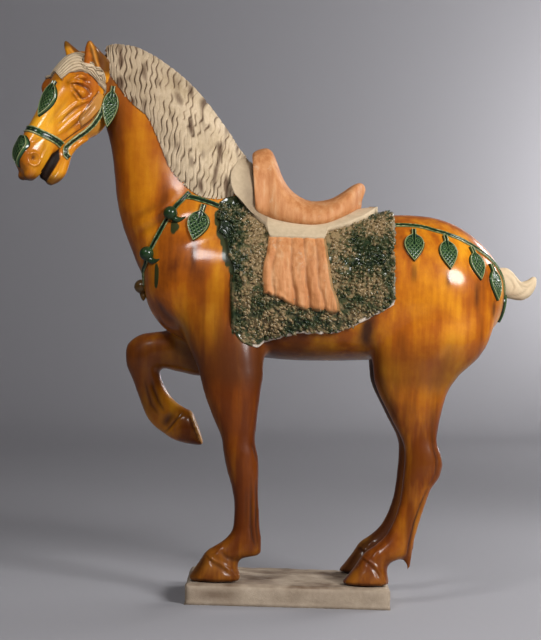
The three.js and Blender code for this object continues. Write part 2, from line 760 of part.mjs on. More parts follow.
function makeHorse() {
  const body = makeBody();
  const skin = skinFinder(body);
  const dressed = body.add(makeRug(skin));
  const dressedSkin = skinFinder(dressed);
  return join([
    dressed,
    makePad(skin),
    archLoft(COLLAR_ARCHES, { rows: 4, boxiness: 2.2 }),
    archLoft(SADDLE_ARCHES, { rows: 4, boxiness: 2.3 }),
    makeCloth(LEFT, dressedSkin),
    makeCloth(RIGHT, dressedSkin),
    makeMane(skin),
    onTurnedHead(makeForelock()),
    ...makeHarness(skin),
    ...makeBridle(),
  ]);
}

// The slab reaches from the hind heels to the fore toe, and a little past the sides of the hooves.
function makePlinth() {
  const toe = FORE_HOOF.at(-1)[0] * SCALE;
  const heel = HIND_HOOF.at(-1)[2] * SCALE;
  const side = (Math.abs(FORE_HOOF.at(-1)[4]) + FORE_HOOF.at(-1)[5]) * SCALE;
  const length = heel - toe + 2 * PLINTH_END_MARGIN;
  const width = 2 * (side + PLINTH_SIDE_MARGIN);
  const slab = new THREE.BoxGeometry(length, width, PLINTH_THICKNESS);
  slab.translate((heel + toe) / 2, 0, PLINTH_THICKNESS / 2);
  return slab;
}

const model = new THREE.Group();
const glaze = new THREE.MeshStandardMaterial({ color: 0xb5651d, roughness: 0.2, metalness: 0 });
const bareClay = new THREE.MeshStandardMaterial({ color: 0xb8ab93, roughness: 0.85, metalness: 0 });

const plinth = new THREE.Mesh(makePlinth(), bareClay);
plinth.name = "plinth";
model.add(plinth);

const horse = new THREE.Mesh(geometryOf(makeHorse()), glaze);
horse.name = "horse";
horse.position.z = PLINTH_THICKNESS + BEDDING_GAP;
model.add(horse);

export default model;
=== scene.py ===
import math
import random

import bmesh
import bpy
from mathutils import Matrix, Vector, noise
from mathutils.bvhtree import BVHTree


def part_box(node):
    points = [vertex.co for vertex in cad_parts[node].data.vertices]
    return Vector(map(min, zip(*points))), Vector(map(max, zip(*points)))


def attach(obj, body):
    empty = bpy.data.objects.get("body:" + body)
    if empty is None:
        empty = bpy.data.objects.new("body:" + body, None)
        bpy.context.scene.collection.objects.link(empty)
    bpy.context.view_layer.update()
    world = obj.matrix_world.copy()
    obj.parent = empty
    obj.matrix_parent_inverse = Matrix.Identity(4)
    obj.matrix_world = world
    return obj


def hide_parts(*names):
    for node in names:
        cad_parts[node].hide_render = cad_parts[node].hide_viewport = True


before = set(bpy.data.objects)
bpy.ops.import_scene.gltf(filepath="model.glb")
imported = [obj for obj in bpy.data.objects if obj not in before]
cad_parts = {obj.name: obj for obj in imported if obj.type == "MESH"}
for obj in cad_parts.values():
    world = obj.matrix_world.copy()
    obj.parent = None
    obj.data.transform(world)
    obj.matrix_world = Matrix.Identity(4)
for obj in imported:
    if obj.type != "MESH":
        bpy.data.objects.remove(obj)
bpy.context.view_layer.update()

# The body is hollow buff clay, pressed in moulds and luted together at the neck and legs.
# Each limb is skinned over rings of its outline, the wet clay is fused and smoothed over,
# and muscles, tendons and folds are then pressed in. Sizes here are millimetres.
MM = 0.001
LEFT = -1
RIGHT = 1
BODY_GRAIN = 3.5 * MM

# The trunk's rings from chest to tail: x, top z, bottom z and half width.
TRUNK_SECTIONS = (
    (-201, 452, 408, 14),
    (-196, 472, 388, 33),
    (-184, 492, 367, 51),
    (-165, 503, 350, 63),
    (-135, 511, 337, 72),
    (-95, 513, 327, 77),
    (-45, 506, 320, 80),
    (10, 503, 317, 81),
    (60, 507, 318, 82),
    (100, 513, 320, 84),
    (140, 517, 322, 87),
    (180, 515, 324, 87),
    (215, 504, 330, 82),
    (245, 484, 346, 69),
    (265, 463, 362, 53),
    (276, 446, 380, 35),
    (281, 430, 398, 14),
)
TRUNK = [(x, top, x, bottom, 0, half) for x, top, bottom, half in TRUNK_SECTIONS]
TRUNK_AXIS = 420

# Rings of the neck, legs and hooves are (ax, az, bx, bz, y, half width): seen from the side,
# the outline passes through a and b.
NECK = (
    (-44, 545, -58, 390, 0, 52),
    (-62, 568, -203, 425, 0, 60),
    (-76, 587, -219, 458, 0, 57),
    (-94, 613, -233, 492, 0, 49),
    (-116, 641, -242, 530, 0, 42),
    (-140, 668, -246, 565, -2, 37),
    (-168, 692, -250, 592, -5, 33.5),
    (-200, 712, -256, 614, -9, 30),
    (-232, 722, -263, 636, -13, 27),
    (-262, 720, -274, 662, -16, 22),
)
FORELEG = (
    (-150, 444, -78, 440, -34, 24),
    (-160, 398, -54, 384, -41, 34),
    (-143, 341, -36, 333, -47, 32),
    (-124, 303, -37, 303, -54, 27),
    (-114, 270, -41, 270, -58, 24),
    (-101, 238, -44, 238, -60, 20.5),
    (-90, 213, -46, 213, -61, 18.5),
    (-87, 194, -42, 194, -62, 19),
    (-82, 172, -40, 173, -62, 18),
    (-75, 150, -40, 150, -62, 15),
    (-71, 123, -38.5, 123, -63, 13.5),
    (-72, 99, -36.5, 99, -63, 14),
    (-81, 84, -34, 82, -64, 15.5),
    (-97, 73, -34, 65, -64, 16.5),
    (-107, 66, -62, 57, -64, 17.5),
    (-109, 58, -64, 49, -64, 17.5),
)
HIND_LEG = (
    (140, 450, 236, 436, -34, 24),
    (113, 405, 266, 382, -42, 38),
    (104, 362, 259, 346, -47, 39),
    (103, 331, 240, 322, -51, 34),
    (105, 304, 217, 301, -55, 28),
    (111, 283, 205, 283, -57, 25),
    (124, 258, 197.5, 257, -59, 22),
    (135, 237, 193, 233, -60, 19),
    (145, 219, 191.5, 218, -61, 17.5),
    (149.5, 203, 196.5, 203, -62, 18),
    (149.5, 187, 200, 187, -62, 18.5),
    (148, 170, 196, 170, -62, 17.5),
    (147, 155, 186, 156, -62, 15),
    (144.5, 137, 180, 138, -62, 13.5),
    (140, 120, 174.5, 121, -63, 13),
    (133, 103, 170, 105, -63, 13.5),
    (124, 89, 166, 90, -63, 15),
    (111, 78, 160, 70, -64, 16.5),
    (100, 70, 134, 57, -64, 17),
    (97, 62, 131, 51, -64, 17),
)
HIND_SPUR = (
    (146, 104, 168, 104, -63, 8),
    (148, 76, 164.5, 76, -63, 7),
    (154, 58, 162.5, 60, -63, 4.5),
    (157, 48, 160.5, 50, -63, 2),
)
SOLE = 28.5
FORE_HOOF = (
    (-106, 67, -64, 56, -64, 17),
    (-113, 56, -64, 48, -64, 19),
    (-122, 42, -61, 38, -64, 23),
    (-131, SOLE, -59, SOLE, -64, 25.5),
)
HIND_HOOF = (
    (99, 69, 130, 57, -64, 16.5),
    (91, 56, 131, 47, -64, 19),
    (81, 42, 133, 37, -64, 22.5),
    (70, SOLE, 134, SOLE, -64, 25),
)
RAISED_LEG = (
    (-122, 432, -52, 400, 34, 24),
    (-142, 396, -62, 344, 38, 33),
    (-155, 368, -90, 301, 43, 31),
    (-170, 353, -124, 291, 47, 27),
    (-188, 350, -146, 295, 49, 24.5),
    (-202, 348, -163, 298, 50, 22.5),
    (-215, 342, -173, 301, 50, 21.5),
    (-227, 326, -179, 300, 50, 21),
    (-226, 307, -179, 295, 50, 19.5),
    (-218, 288, -175, 283, 50, 17),
    (-210, 268, -168, 270, 50, 15),
    (-203, 250, -157, 257, 50, 15),
    (-197, 236, -149, 251, 50, 16),
    (-186, 222, -143, 248, 50, 16),
    (-172, 212, -141, 246, 50, 16),
)
RAISED_HOOF = (
    (-173, 213, -142, 246, 50, 16.5),
    (-159, 204, -139, 246, 50, 18.5),
    (-140, 199, -136, 245, 50, 22),
    (-115, 196, -133, 243, 50, 23),
)


def clamped(value):
    return min(max(value, 0), 1)


def eased(stations):
    """Smooth values along a row of stations, with no overshoot between them."""
    last = len(stations) - 1
    slopes = []
    for column in zip(*stations):
        steps = [b - a for a, b in zip(column, column[1:])]
        inner = [2 * a * b / (a + b) if a * b > 0 else 0 for a, b in zip(steps, steps[1:])]
        slopes.append([steps[0], *inner, steps[-1]])

    def value(t):
        place = clamped(t) * last
        i = min(int(place), last - 1)
        f = place - i
        rise = f * f * (3 - 2 * f)
        start = f * (1 - f) ** 2
        end = f * f * (f - 1)
        return [
            a + (b - a) * rise + slope[i] * start + slope[i + 1] * end
            for a, b, slope in zip(stations[i], stations[i + 1], slopes)
        ]

    return value


def skinned(clay, rings):
    """A closed skin over rings of points, each ring bridged to the next."""
    before = []
    made = []
    for number, ring in enumerate(rings):
        ends = number in (0, len(rings) - 1)
        verts = bmesh.ops.create_circle(clay, cap_ends=ends, segments=len(ring), radius=1)["verts"]
        for vert, point in zip(verts, ring):
            vert.co = point
        edges = list({edge for vert in verts for edge in vert.link_edges})
        if before:
            bmesh.ops.bridge_loops(clay, edges=before + edges)
        before = edges
        made += verts
    return made


def smooth_step(value, low, high):
    share = clamped((value - low) / (high - low))
    return share * share * (3 - 2 * share)


def power(value, exponent):
    return math.copysign(abs(value) ** exponent, value)


def rings_along(stations, ring, between):
    """Rings made by a function of the stations, with more of them eased in between."""
    value = eased(stations)
    count = between * (len(stations) - 1)
    return [ring(*value(step / count)) for step in range(count + 1)]


def limb(clay, stations, sides=32, between=4, egg=0, squareness=2, flip=1):
    """A closed limb. Its rings are ovals: fuller on the a side with egg, boxy with squareness."""

    def ring(ax, az, bx, bz, y, half):
        across = Vector(((ax - bx) / 2, (az - bz) / 2))
        points = []
        for k in range(sides):
            angle = 2 * math.pi * k / sides
            c = power(math.cos(angle), 2 / squareness)
            s = power(math.sin(angle), 2 / squareness)
            width = half * (1 + egg * math.cos(angle))
            x = (ax + bx) / 2 + across.x * c
            z = (az + bz) / 2 + across.y * c
            points.append(Vector((x, flip * (y + s * width), z)) * MM)
        return points

    skinned(clay, rings_along(stations, ring, between))


def fused(clay, grain):
    """The outer skin of closed lumps that overlap, in even quads of a grain's size."""
    mesh = bpy.data.meshes.new("lumps")
    clay.to_mesh(mesh)
    lumps = bpy.data.objects.new("lumps", mesh)
    bpy.context.scene.collection.objects.link(lumps)
    remesh = lumps.modifiers.new("Fuse", "REMESH")
    remesh.mode = "VOXEL"
    remesh.voxel_size = grain
    skin = bmesh.new()
    skin.from_object(lumps, bpy.context.evaluated_depsgraph_get())
    bpy.data.objects.remove(lumps)
    bpy.data.meshes.remove(mesh)
    return skin


def join_in(whole, part):
    """Adds one mesh to another, with its painted layers."""
    mesh = bpy.data.meshes.new("part")
    part.to_mesh(mesh)
    whole.from_mesh(mesh)
    bpy.data.meshes.remove(mesh)


def refined(skin, inside):
    """Halves the grain where a function of a place says so."""
    edges = [edge for edge in skin.edges if all(inside(vert.co) for vert in edge.verts)]
    bmesh.ops.subdivide_edges(skin, edges=edges, cuts=1, use_grid_fill=True)


def smooth_over(skin, passes, inside=lambda co: True):
    verts = [vert for vert in skin.verts if inside(vert.co)]
    for _ in range(passes):
        bmesh.ops.smooth_vert(
            skin, verts=verts, factor=0.5, use_axis_x=True, use_axis_y=True, use_axis_z=True
        )
    skin.normal_update()


def away_from(co, line):
    """Distance in the side view from a drawn line, and the share of the line there."""
    here = Vector((co.x, co.z))
    best = (1e9, 0)
    for number, (a, b) in enumerate(zip(line, line[1:])):
        along = b - a
        share = clamped((here - a).dot(along) / along.length_squared)
        distance = (here - a - along * share).length
        if distance < best[0]:
            best = (distance, (number + share) / (len(line) - 1))
    return best


def work(skin, path, width, height, fade=True, stain=0, dye=None):
    """Raises a ridge along a path drawn from the side, or presses a groove where height is
    negative, on both sides of the horse. stain colours the line in the layer dye."""
    line = [Vector(point) * MM for point in path]
    reach = 2.3 * width * MM
    low = [min(point[k] for point in line) - reach for k in (0, 1)]
    high = [max(point[k] for point in line) + reach for k in (0, 1)]
    moves = []
    for vert in skin.verts:
        co = vert.co
        if not (low[0] < co.x < high[0] and low[1] < co.z < high[1]):
            continue
        distance, share = away_from(co, line)
        if distance > reach:
            continue
        facing = min(1, 1.6 * abs(vert.normal.y))
        ends = math.sin(math.pi * min(max(share, 0.02), 0.98)) ** 0.5 if fade else 1
        strength = math.exp(-((distance / (width * MM)) ** 2)) * facing * ends
        moves.append((vert, vert.normal * height * MM * strength, strength))
    for vert, move, strength in moves:
        vert.co += move
        if dye:
            vert[dye] = min(1, max(vert[dye], stain * strength))
    skin.normal_update()


def work_all(skin, strokes, dye):
    """Works each stroke of a table: its line, width and height, and how dark it is dyed."""
    for line, width, height, stain in strokes:
        work(skin, line, width, height, stain=stain, dye=dye)


def press(skin, centre, radii, move):
    """Moves the clay round a point, most at the point itself."""
    centre = Vector(centre) * MM
    move = Vector(move) * MM
    for vert in skin.verts:
        off = vert.co - centre
        far = sum((off[k] / (radii[k] * MM)) ** 2 for k in range(3))
        if far < 4:
            vert.co += move * math.exp(-far)
    skin.normal_update()


def above_the_knees(co):
    """The barrel, neck and thighs, apart from the raised knee."""
    return co.z > 0.30 and not (co.x < -0.165 and co.z < 0.36)


def on_the_rump(co):
    return co.x > 0.12 and co.z > 0.33


def low_on_leg(co):
    return co.z < 0.205 or (co.x < -0.13 and co.z < 0.275)


lumps = bmesh.new()
limb(lumps, TRUNK, egg=-0.08, squareness=2.15, sides=48)
limb(lumps, NECK, egg=-0.14, sides=40)
limb(lumps, FORELEG, squareness=2.1)
limb(lumps, FORE_HOOF, squareness=2.3)
limb(lumps, RAISED_LEG, squareness=2.1)
limb(lumps, RAISED_HOOF, squareness=2.3)
for flip in (1, -1):
    limb(lumps, HIND_LEG, squareness=2.1, flip=flip)
    limb(lumps, HIND_HOOF, squareness=2.3, flip=flip)
    limb(lumps, HIND_SPUR, sides=12, flip=flip)
body = fused(lumps, BODY_GRAIN)
smooth_over(body, 3)
smooth_over(body, 22, above_the_knees)
smooth_over(body, 30, on_the_rump)
refined(body, low_on_leg)
smooth_over(body, 4, lambda co: co.z > 0.07)
smooth_over(body, 2, low_on_leg)
brown = body.verts.layers.float.new("brown")
green = body.verts.layers.float.new("green")
pale = body.verts.layers.float.new("pale")

# Tendons down the cannons: grooves with a ridge between them, dark where the glaze pooled.
FORE_TENDONS = (
    ([(-51, 210), (-46, 200), (-43, 186)], 1.6, -1.2, 0.8),
    ([(-50, 163), (-49.2, 129), (-48.4, 101), (-46, 87), (-41, 74)], 1.7, -2.0, 1.0),
    ([(-43.5, 161), (-41.6, 129), (-41.2, 101), (-38.4, 76)], 1.5, -1.6, 0.95),
    ([(-46.6, 160), (-45.4, 129), (-44.8, 101), (-42, 86)], 1.3, 1.3, 0),
    ([(-55.3, 150), (-55.1, 125), (-54.5, 100)], 2.2, -0.7, 0.5),
)
HIND_TENDONS = (
    (
        [(184.5, 258), (184.2, 227), (186.5, 209), (191, 195), (190, 176), (183, 160)],
        1.9, -1.6, 0.7,
    ),
    ([(180, 156), (171.7, 136), (164.3, 113), (158.6, 84), (156, 68)], 1.6, -2.0, 1.0),
    ([(174, 150), (167, 131), (160, 109), (154.5, 84)], 1.6, 1.1, 0),
    ([(145, 205), (147, 187), (145, 168), (142, 140), (137, 112)], 2.4, -0.8, 0.5),
)
RAISED_TENDONS = (
    ([(-189.4, 288), (-185.7, 272), (-178.9, 256), (-169.9, 242)], 2.0, -1.8, 0.9),
    ([(-199, 288), (-194.2, 266), (-189.5, 252), (-179, 239)], 2.0, -1.4, 0.8),
    ([(-194, 282), (-189.5, 266), (-184, 252)], 1.6, 1.0, 0),
)
work_all(body, FORE_TENDONS + HIND_TENDONS + RAISED_TENDONS, brown)

# Hooves: a ridge round the coronet that runs down to the heel, a flat wall below it, and
# glaze that pooled brown in the creases. The broad dark stroke down the fore hoof's front
# edge and the dark line in the raised hoof's sole are painted shade.
HOOF_STROKES = (
    ([(-106, 64), (-98.4, 58), (-83, 50.5), (-73, 43.6), (-64, 32)], 1.5, 1.6, 0),
    ([(-104, 60), (-97, 53.5), (-84, 46.5), (-76, 39)], 2.0, -1.1, 0.6),
    ([(-84, 76), (-91.6, 65), (-98.5, 59.5)], 1.8, 1.1, 0),
    ([(-88, 70), (-80, 62), (-70, 57), (-62, 55)], 2.4, -1.2, 0.7),
    # Painted shade down the fore hoof's front edge.
    ([(-106, 62), (-118, 46), (-127, 32)], 7, -0.3, 0.95),
    ([(-128, 31), (-100, 31), (-62, 31)], 1.6, -0.4, 0.6),
    ([(94.4, 68), (106, 61), (116, 53.5), (123, 42), (131, 29)], 1.5, 1.6, 0),
    ([(97, 63), (107, 56.5), (115, 48.5), (120, 39)], 2.0, -1.1, 0.45),
    ([(118, 76), (111, 66), (107, 60.5)], 1.8, 1.0, 0),
    ([(87, 58), (79, 46), (72, 34)], 3.5, -0.3, 0.6),
    ([(73, 31), (100, 31), (132, 31)], 1.6, -0.4, 0.6),
    ([(-146, 242), (-154.5, 232), (-163, 221), (-170, 213)], 1.8, -1.8, 0.9),
    ([(-143, 239), (-151, 229), (-159, 218), (-165, 210)], 1.6, 1.2, 0),
    ([(-158, 241), (-166, 231), (-172, 222)], 6.5, -1.4, 0.9),
    # Painted shade in the raised hoof's sole, along its recess.
    ([(-136.5, 240), (-132, 225), (-125, 210), (-117, 198)], 1.6, -0.8, 0.9),
)
work_all(body, HOOF_STROKES, brown)

# The crease behind the elbow, the fold of the flank, the gaskin and folds of the chest.
BODY_FOLDS = (
    ([(100, 382), (96, 366), (94, 350), (98, 334)], 10, -2.5, 1.2),
    # Painted shade down the front edge of the hind leg, where it turns away.
    ([(104, 348), (106, 330), (109, 306), (117, 283), (129, 258), (141, 225)], 8, -1.2, 0.75),
    ([(-38, 372), (-34, 352), (-33, 335)], 6, -4, 0.6),
    ([(-190, 392), (-170, 372), (-148, 352), (-138, 336)], 7, -3, 0.6),
    ([(-208, 424), (-188, 470), (-160, 505), (-120, 520)], 9, -2.5, 0),
    ([(-222, 497), (-192, 512), (-166, 530)], 5, -1.7, 0.3),
    ([(-216, 487), (-188, 502), (-166, 519)], 5, 1.6, 0),
    ([(-212, 477), (-186, 491), (-168, 505)], 4.5, -1.5, 0.3),
    ([(205, 350), (196, 310), (188, 270)], 9, -2, 0.3),
)
work_all(body, BODY_FOLDS, brown)

# Green glaze ran from the rug's front edge and from the bells, and brown from the leaves. Each
# run is x, top z and bottom z, and a green one its width and strength too.
GREEN_RUNS = (
    (-104, 512, 492, 3.0, 1.6),
    (-100, 500, 476, 3.4, 1.8),
    (-95, 486, 466, 3.2, 1.8),
    (-92, 478, 446, 3.4, 1.8),
    (-88, 462, 438, 3.2, 1.8),
    (-83, 450, 428, 2.8, 1.6),
    (-79, 440, 348, 2.0, 1.4),
    (-161, 497, 480, 3.2, 1.3),
    (-157, 494, 484, 3.0, 1.0),
    (-182, 441, 407, 2.3, 1.3),
)
BROWN_RUNS = ((-133, 476, 430), (154, 450, 424), (199, 441, 420), (237, 429, 392), (262, 404, 380))
for x, top, bottom, width, strength in GREEN_RUNS:
    run = [(x, top), (x + 0.6, (top + bottom) / 2), (x, bottom)]
    work(body, run, width, 0.3, stain=strength, dye=green)
for x, top, bottom in BROWN_RUNS:
    work(body, [(x, top), (x, bottom)], 3.2, 0.2, stain=0.8, dye=brown)


class Flow:
    """A value, colour or vector that flows through a glaze's nodes. Sums and products of
    values add the nodes that work them out."""

    def __init__(self, tree, socket=None):
        self.tree = tree
        self.socket = socket

    def node(self, kind, settings=None, inputs=None, output=0):
        made = self.tree.nodes.new("ShaderNode" + kind)
        for name, setting in (settings or {}).items():
            if name == "stops":
                self.set_stops(made.color_ramp, setting)
            else:
                setattr(made, name, setting)
        for name, value in (inputs or {}).items():
            if isinstance(value, Flow):
                self.tree.links.new(value.socket, made.inputs[name])
            else:
                made.inputs[name].default_value = value
        return Flow(self.tree, made.outputs[output])

    def set_stops(self, ramp, stops):
        for number, (place, colour) in enumerate(stops):
            if number >= len(ramp.elements):
                ramp.elements.new(place)
            stop = ramp.elements[number]
            stop.position = place
            stop.color = (*colour, 1)

    def maths(self, operation, first, second):
        return self.node("Math", {"operation": operation}, {0: first, 1: second})

    def __add__(self, other):
        return self.maths("ADD", self, other)

    def __radd__(self, other):
        return self.maths("ADD", other, self)

    def __sub__(self, other):
        return self.maths("SUBTRACT", self, other)

    def __rsub__(self, other):
        return self.maths("SUBTRACT", other, self)

    def __mul__(self, other):
        return self.maths("MULTIPLY", self, other)

    def __rmul__(self, other):
        return self.maths("MULTIPLY", other, self)

    def stretched(self, scale):
        return self.node("Mapping", None, {"Vector": self, "Scale": scale})

    def clouds(self, scale, detail=4, roughness=0.55):
        inputs = {"Vector": self, "Scale": scale, "Detail": detail, "Roughness": roughness}
        return self.node("TexNoise", None, inputs)

    def net(self, scale):
        """0 along the lines of a net of cells, and more away from them."""
        settings = {"feature": "DISTANCE_TO_EDGE"}
        return self.node("TexVoronoi", settings, {"Vector": self, "Scale": scale})

    def between(self, low, high):
        """0 below low and 1 above high, with a soft step between them."""
        settings = {"interpolation_type": "SMOOTHSTEP", "clamp": True}
        inputs = {"Value": self, "From Min": low, "From Max": high}
        return self.node("MapRange", settings, inputs)

    def ramp(self, *stops):
        return self.node("ValToRGB", {"stops": stops}, {"Fac": self})

    def tinted(self, colour, share):
        """This colour, turned into another by a share."""
        other = colour if isinstance(colour, Flow) else (*colour, 1)
        inputs = {0: share, 6: self, 7: other}
        return self.node("Mix", {"data_type": "RGBA"}, inputs, output=2)

    def painted(self, name):
        """A layer painted on the mesh, from 0 to 1."""
        return self.node("Attribute", {"attribute_name": name}, output="Fac")

    def bumps(self, distance, under=None):
        inputs = {"Height": self, "Distance": distance, "Strength": 1.0}
        if under:
            inputs["Normal"] = under
        return self.node("Bump", None, inputs)

    def axis(self, name):
        return self.node("SeparateXYZ", None, {0: self}, output=name)


def finish_named(name, roughness=0.5, coat=0.0, coat_roughness=0.05):
    """A new material: its object coordinates as a flow, and its shader."""
    material = bpy.data.materials.new(name)
    material.use_nodes = True
    tree = material.node_tree
    shader = tree.nodes["Principled BSDF"]
    shader.inputs["Roughness"].default_value = roughness
    shader.inputs["Coat Weight"].default_value = coat
    shader.inputs["Coat Roughness"].default_value = coat_roughness
    shader.inputs["Specular IOR Level"].default_value = 0.1 if coat else 0.3
    places = Flow(tree).node("TexCoord", output="Object")
    return material, places, shader


def lay_on(shader, **flows):
    for name, flow in flows.items():
        flow.tree.links.new(flow.socket, shader.inputs[name.replace("_", " ")])


# Amber lead glaze ran down the body, thick and brown in the hollows and low on the legs,
# thin and yellow on the high parts. It is glassy, and crazed with hairlines.
AMBER_DEPTHS = (
    (0.36, (0.80, 0.36, 0.015)),
    (0.50, (0.62, 0.215, 0.006)),
    (0.62, (0.40, 0.100, 0.004)),
    (0.78, (0.15, 0.032, 0.003)),
)
LEG_BROWN = (0.105, 0.019, 0.001)
FRONT_BROWN_AND_SHADE = (0.090, 0.017, 0.001)
SHIN_BROWN_AND_SHADE = (0.055, 0.012, 0.001)
NAPE_ORANGE = (0.30, 0.070, 0.003)
BELLY_BROWN = (0.06, 0.018, 0.005)
HOOF_ORANGE = (0.30, 0.11, 0.008)
POOLED_BROWN_AND_SHADE = (0.040, 0.011, 0.003)
GREEN_DRIP = (0.010, 0.034, 0.010)
CREAM_AND_HIGHLIGHT = (0.44, 0.215, 0.055)
HOLLOW_SHADE_BLACK = (0.010, 0.005, 0.003)
CRAZE_BROWN = (0.16, 0.05, 0.01)


def amber_glaze(name, thinness=0.0, leg_shade=1.0):
    material, places, shader = finish_named(name, roughness=0.5, coat=0.85, coat_roughness=0.15)
    shader.inputs["Coat IOR"].default_value = 1.36
    runs = places.stretched((26, 26, 5)).clouds(1.0, detail=3)
    fine_runs = places.stretched((95, 95, 9)).clouds(1.0, detail=4, roughness=0.6)
    pools = places.clouds(13, detail=5, roughness=0.6)
    patches = places.stretched((52, 52, 8)).clouds(1.0, detail=3).between(0.38, 0.62)
    height = places.axis("Z")
    thick = runs * 0.60 + fine_runs * 0.24 + pools * 0.50 - (0.085 + thinness)
    colour = thick.ramp(*AMBER_DEPTHS)
    ahead = places.axis("X")
    behind_raised = ahead.between(-0.17, -0.12)
    low_down = (1 - height.between(0.22, 0.38)) * leg_shade * (0.30 + 0.70 * behind_raised)
    colour = colour.tinted(LEG_BROWN, low_down * (0.56 + 0.36 * patches))
    # Below the barrel, the forelegs and chest are darkened: partly the glaze's own brown, partly
    # painted shade away from the brighter lamp on the right.
    front = (1 - ahead.between(-0.02, 0.08)) * (0.2 + 0.8 * behind_raised)
    front = front * (1 - height.between(0.36, 0.50)) * leg_shade
    colour = colour.tinted(FRONT_BROWN_AND_SHADE, front * (0.58 + 0.26 * patches))
    # The raised leg's shin is darkened, partly brown glaze and partly painted shade.
    shin = (1 - ahead.between(-0.19, -0.16)) * height.between(0.22, 0.25)
    shin = shin * (1 - height.between(0.275, 0.30)) * leg_shade
    colour = colour.tinted(SHIN_BROWN_AND_SHADE, shin * 0.62)
    nape = (1 - ahead.between(-0.16, -0.11)) * height.between(0.50, 0.58) * leg_shade
    colour = colour.tinted(NAPE_ORANGE, nape * 0.40)
    belly = (1 - height.between(0.315, 0.37)) * height.between(0.27, 0.30) * leg_shade
    colour = colour.tinted(BELLY_BROWN, belly * 0.55)
    hooves = (1 - height.between(0.050, 0.085)) * leg_shade
    colour = colour.tinted(HOOF_ORANGE, hooves * (0.55 - 0.45 * patches))
    # The brown layer holds glaze pooled in grooves and painted shade: behind the jaw, inside the
    # hind legs, down the hind leg's front edge, the fore hoof's front edge and the raised hoof's
    # sole.
    colour = colour.tinted(POOLED_BROWN_AND_SHADE, places.painted("brown") * 0.97)
    colour = colour.tinted(GREEN_DRIP, places.painted("green").between(0.15, 0.5) * 0.95)
    # The pale layer holds cream on the raised sole, tongue and jowl, and painted highlights: a
    # soft reflection on the flat of the cheek and the lit rim of the ear.
    colour = colour.tinted(CREAM_AND_HIGHLIGHT, places.painted("pale"))
    # The dark layer paints the mouth's hollow near black: painted shade.
    colour = colour.tinted(HOLLOW_SHADE_BLACK, places.painted("dark"))
    crazing = places.net(330).between(0.0, 0.05)
    colour = colour.tinted(CRAZE_BROWN, (1 - crazing) * 0.10)
    orange_peel = places.clouds(60, detail=2).bumps(0.0006)
    skin = places.clouds(700, detail=2).bumps(0.00004, orange_peel)
    glassy = (1 - places.painted("dark")) * 0.85 - low_down * 0.25 - front * 0.20
    lay_on(shader, Base_Color=colour, Normal=skin, Coat_Weight=glassy)
    return material


def piece(name, skin, material, *nodes, slot=None):
    """A finished piece of the figure, which stands for CAD nodes, hides them, and rides with the
    root body.
    """
    mesh = bpy.data.meshes.new(name)
    for face in skin.faces:
        face.smooth = True
    skin.to_mesh(mesh)
    made = bpy.data.objects.new(name, mesh)
    bpy.context.scene.collection.objects.link(made)
    mesh.materials.append(material)
    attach(made, "root")
    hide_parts(*(nodes or ("horse",)))
    return made


def blot(x, z, at, level, wide, tall):
    """A soft round spot in the side view, 1 at its middle."""
    return math.exp(-(((x - at) / wide) ** 2) - ((z - level) / tall) ** 2)


def on_raised_sole(x, y, z):
    return y > 0 and 190 < z < 246 and -137 + 0.42 * max(0, 242 - z) < x < -105


# The glaze is dark brown behind the ear and darker down the throat. Behind the jaw and on the
# inner faces of the hind legs the brown is painted shade: the head's shadow on the neck, and the
# shade between the legs.
throat_line = [Vector((bx, bz)) * MM for _, _, bx, bz, _, _ in NECK[1:]]
for vert in body.verts:
    x, y, z = vert.co / MM
    jaw_shadow = blot(x, z, -244, 622, 16, 42)
    throat = math.exp(-((away_from(vert.co, throat_line)[0] / (11 * MM)) ** 2))
    behind_ear = blot(x, z, -250, 700, 11, 30)
    # Faces of the hind legs turned towards the middle get painted shade.
    inner = clamped(-1.6 * vert.normal.y * math.copysign(1, y)) if z < 330 else 0
    inner *= 0.9 * smooth_step(x, 20, 60)
    stains_and_shade = 0.6 * jaw_shadow + 0.32 * throat + 0.85 * behind_ear + inner
    vert[brown] = min(1, vert[brown] + stains_and_shade)
    if on_raised_sole(x, y, z):
        vert[pale] = 0.75
body_glaze = amber_glaze("body_glaze")
body_tree = BVHTree.FromBMesh(body)
piece("horse_body", body, body_glaze, slot="amber_glaze")


# The head was modelled apart and luted on at the throat, turned to the horse's left. It is
# worked on unturned, from the poll to the lips: eyes, brows, cheek bones, nostrils, lips
# and ears were cut with a tool in firm clay, then glazed like the body.
HEAD_TURN = 30
HEAD = (
    (-262, 716, -250, 656, 0, 20),
    (-290, 720, -258, 624, 0, 27),
    (-312, 709, -272, 608, 0, 31),
    (-325, 695, -287, 602, 0, 31),
    (-335, 679, -300, 596, 0, 27),
    (-345, 659, -313, 589, 0, 22.5),
    (-355, 636, -326, 582, 0, 18.5),
    (-365, 617, -336, 573, 0, 17),
    (-375, 600, -343, 563, 0, 17),
    (-382, 586, -350, 554, 0, 18.5),
    (-383, 572, -355, 548, 0, 17.5),
    (-377, 559, -361, 543, 0, 13),
    (-371, 550, -366, 545, 0, 5),
)
JAW = (
    (-298, 604, -282, 602, 0, 17),
    (-314, 594, -298, 590, 0, 16),
    (-323, 581, -307, 577, 0, 14),
    (-328, 568, -309.5, 565, 0, 13),
    (-332, 557, -313.5, 554, 0, 12.5),
    (-337, 549, -322, 544, 0, 11),
    (-340, 543, -333, 538.5, 0, 6),
)
MOUTH_FLOOR = (
    (-322, 600, -306, 590, 0, 11),
    (-338, 580, -322, 572, 0, 10),
    (-345, 566, -330, 560, 0, 9),
    (-348, 556, -338, 550, 0, 7),
    (-349, 549, -340, 544, 0, 5),
)
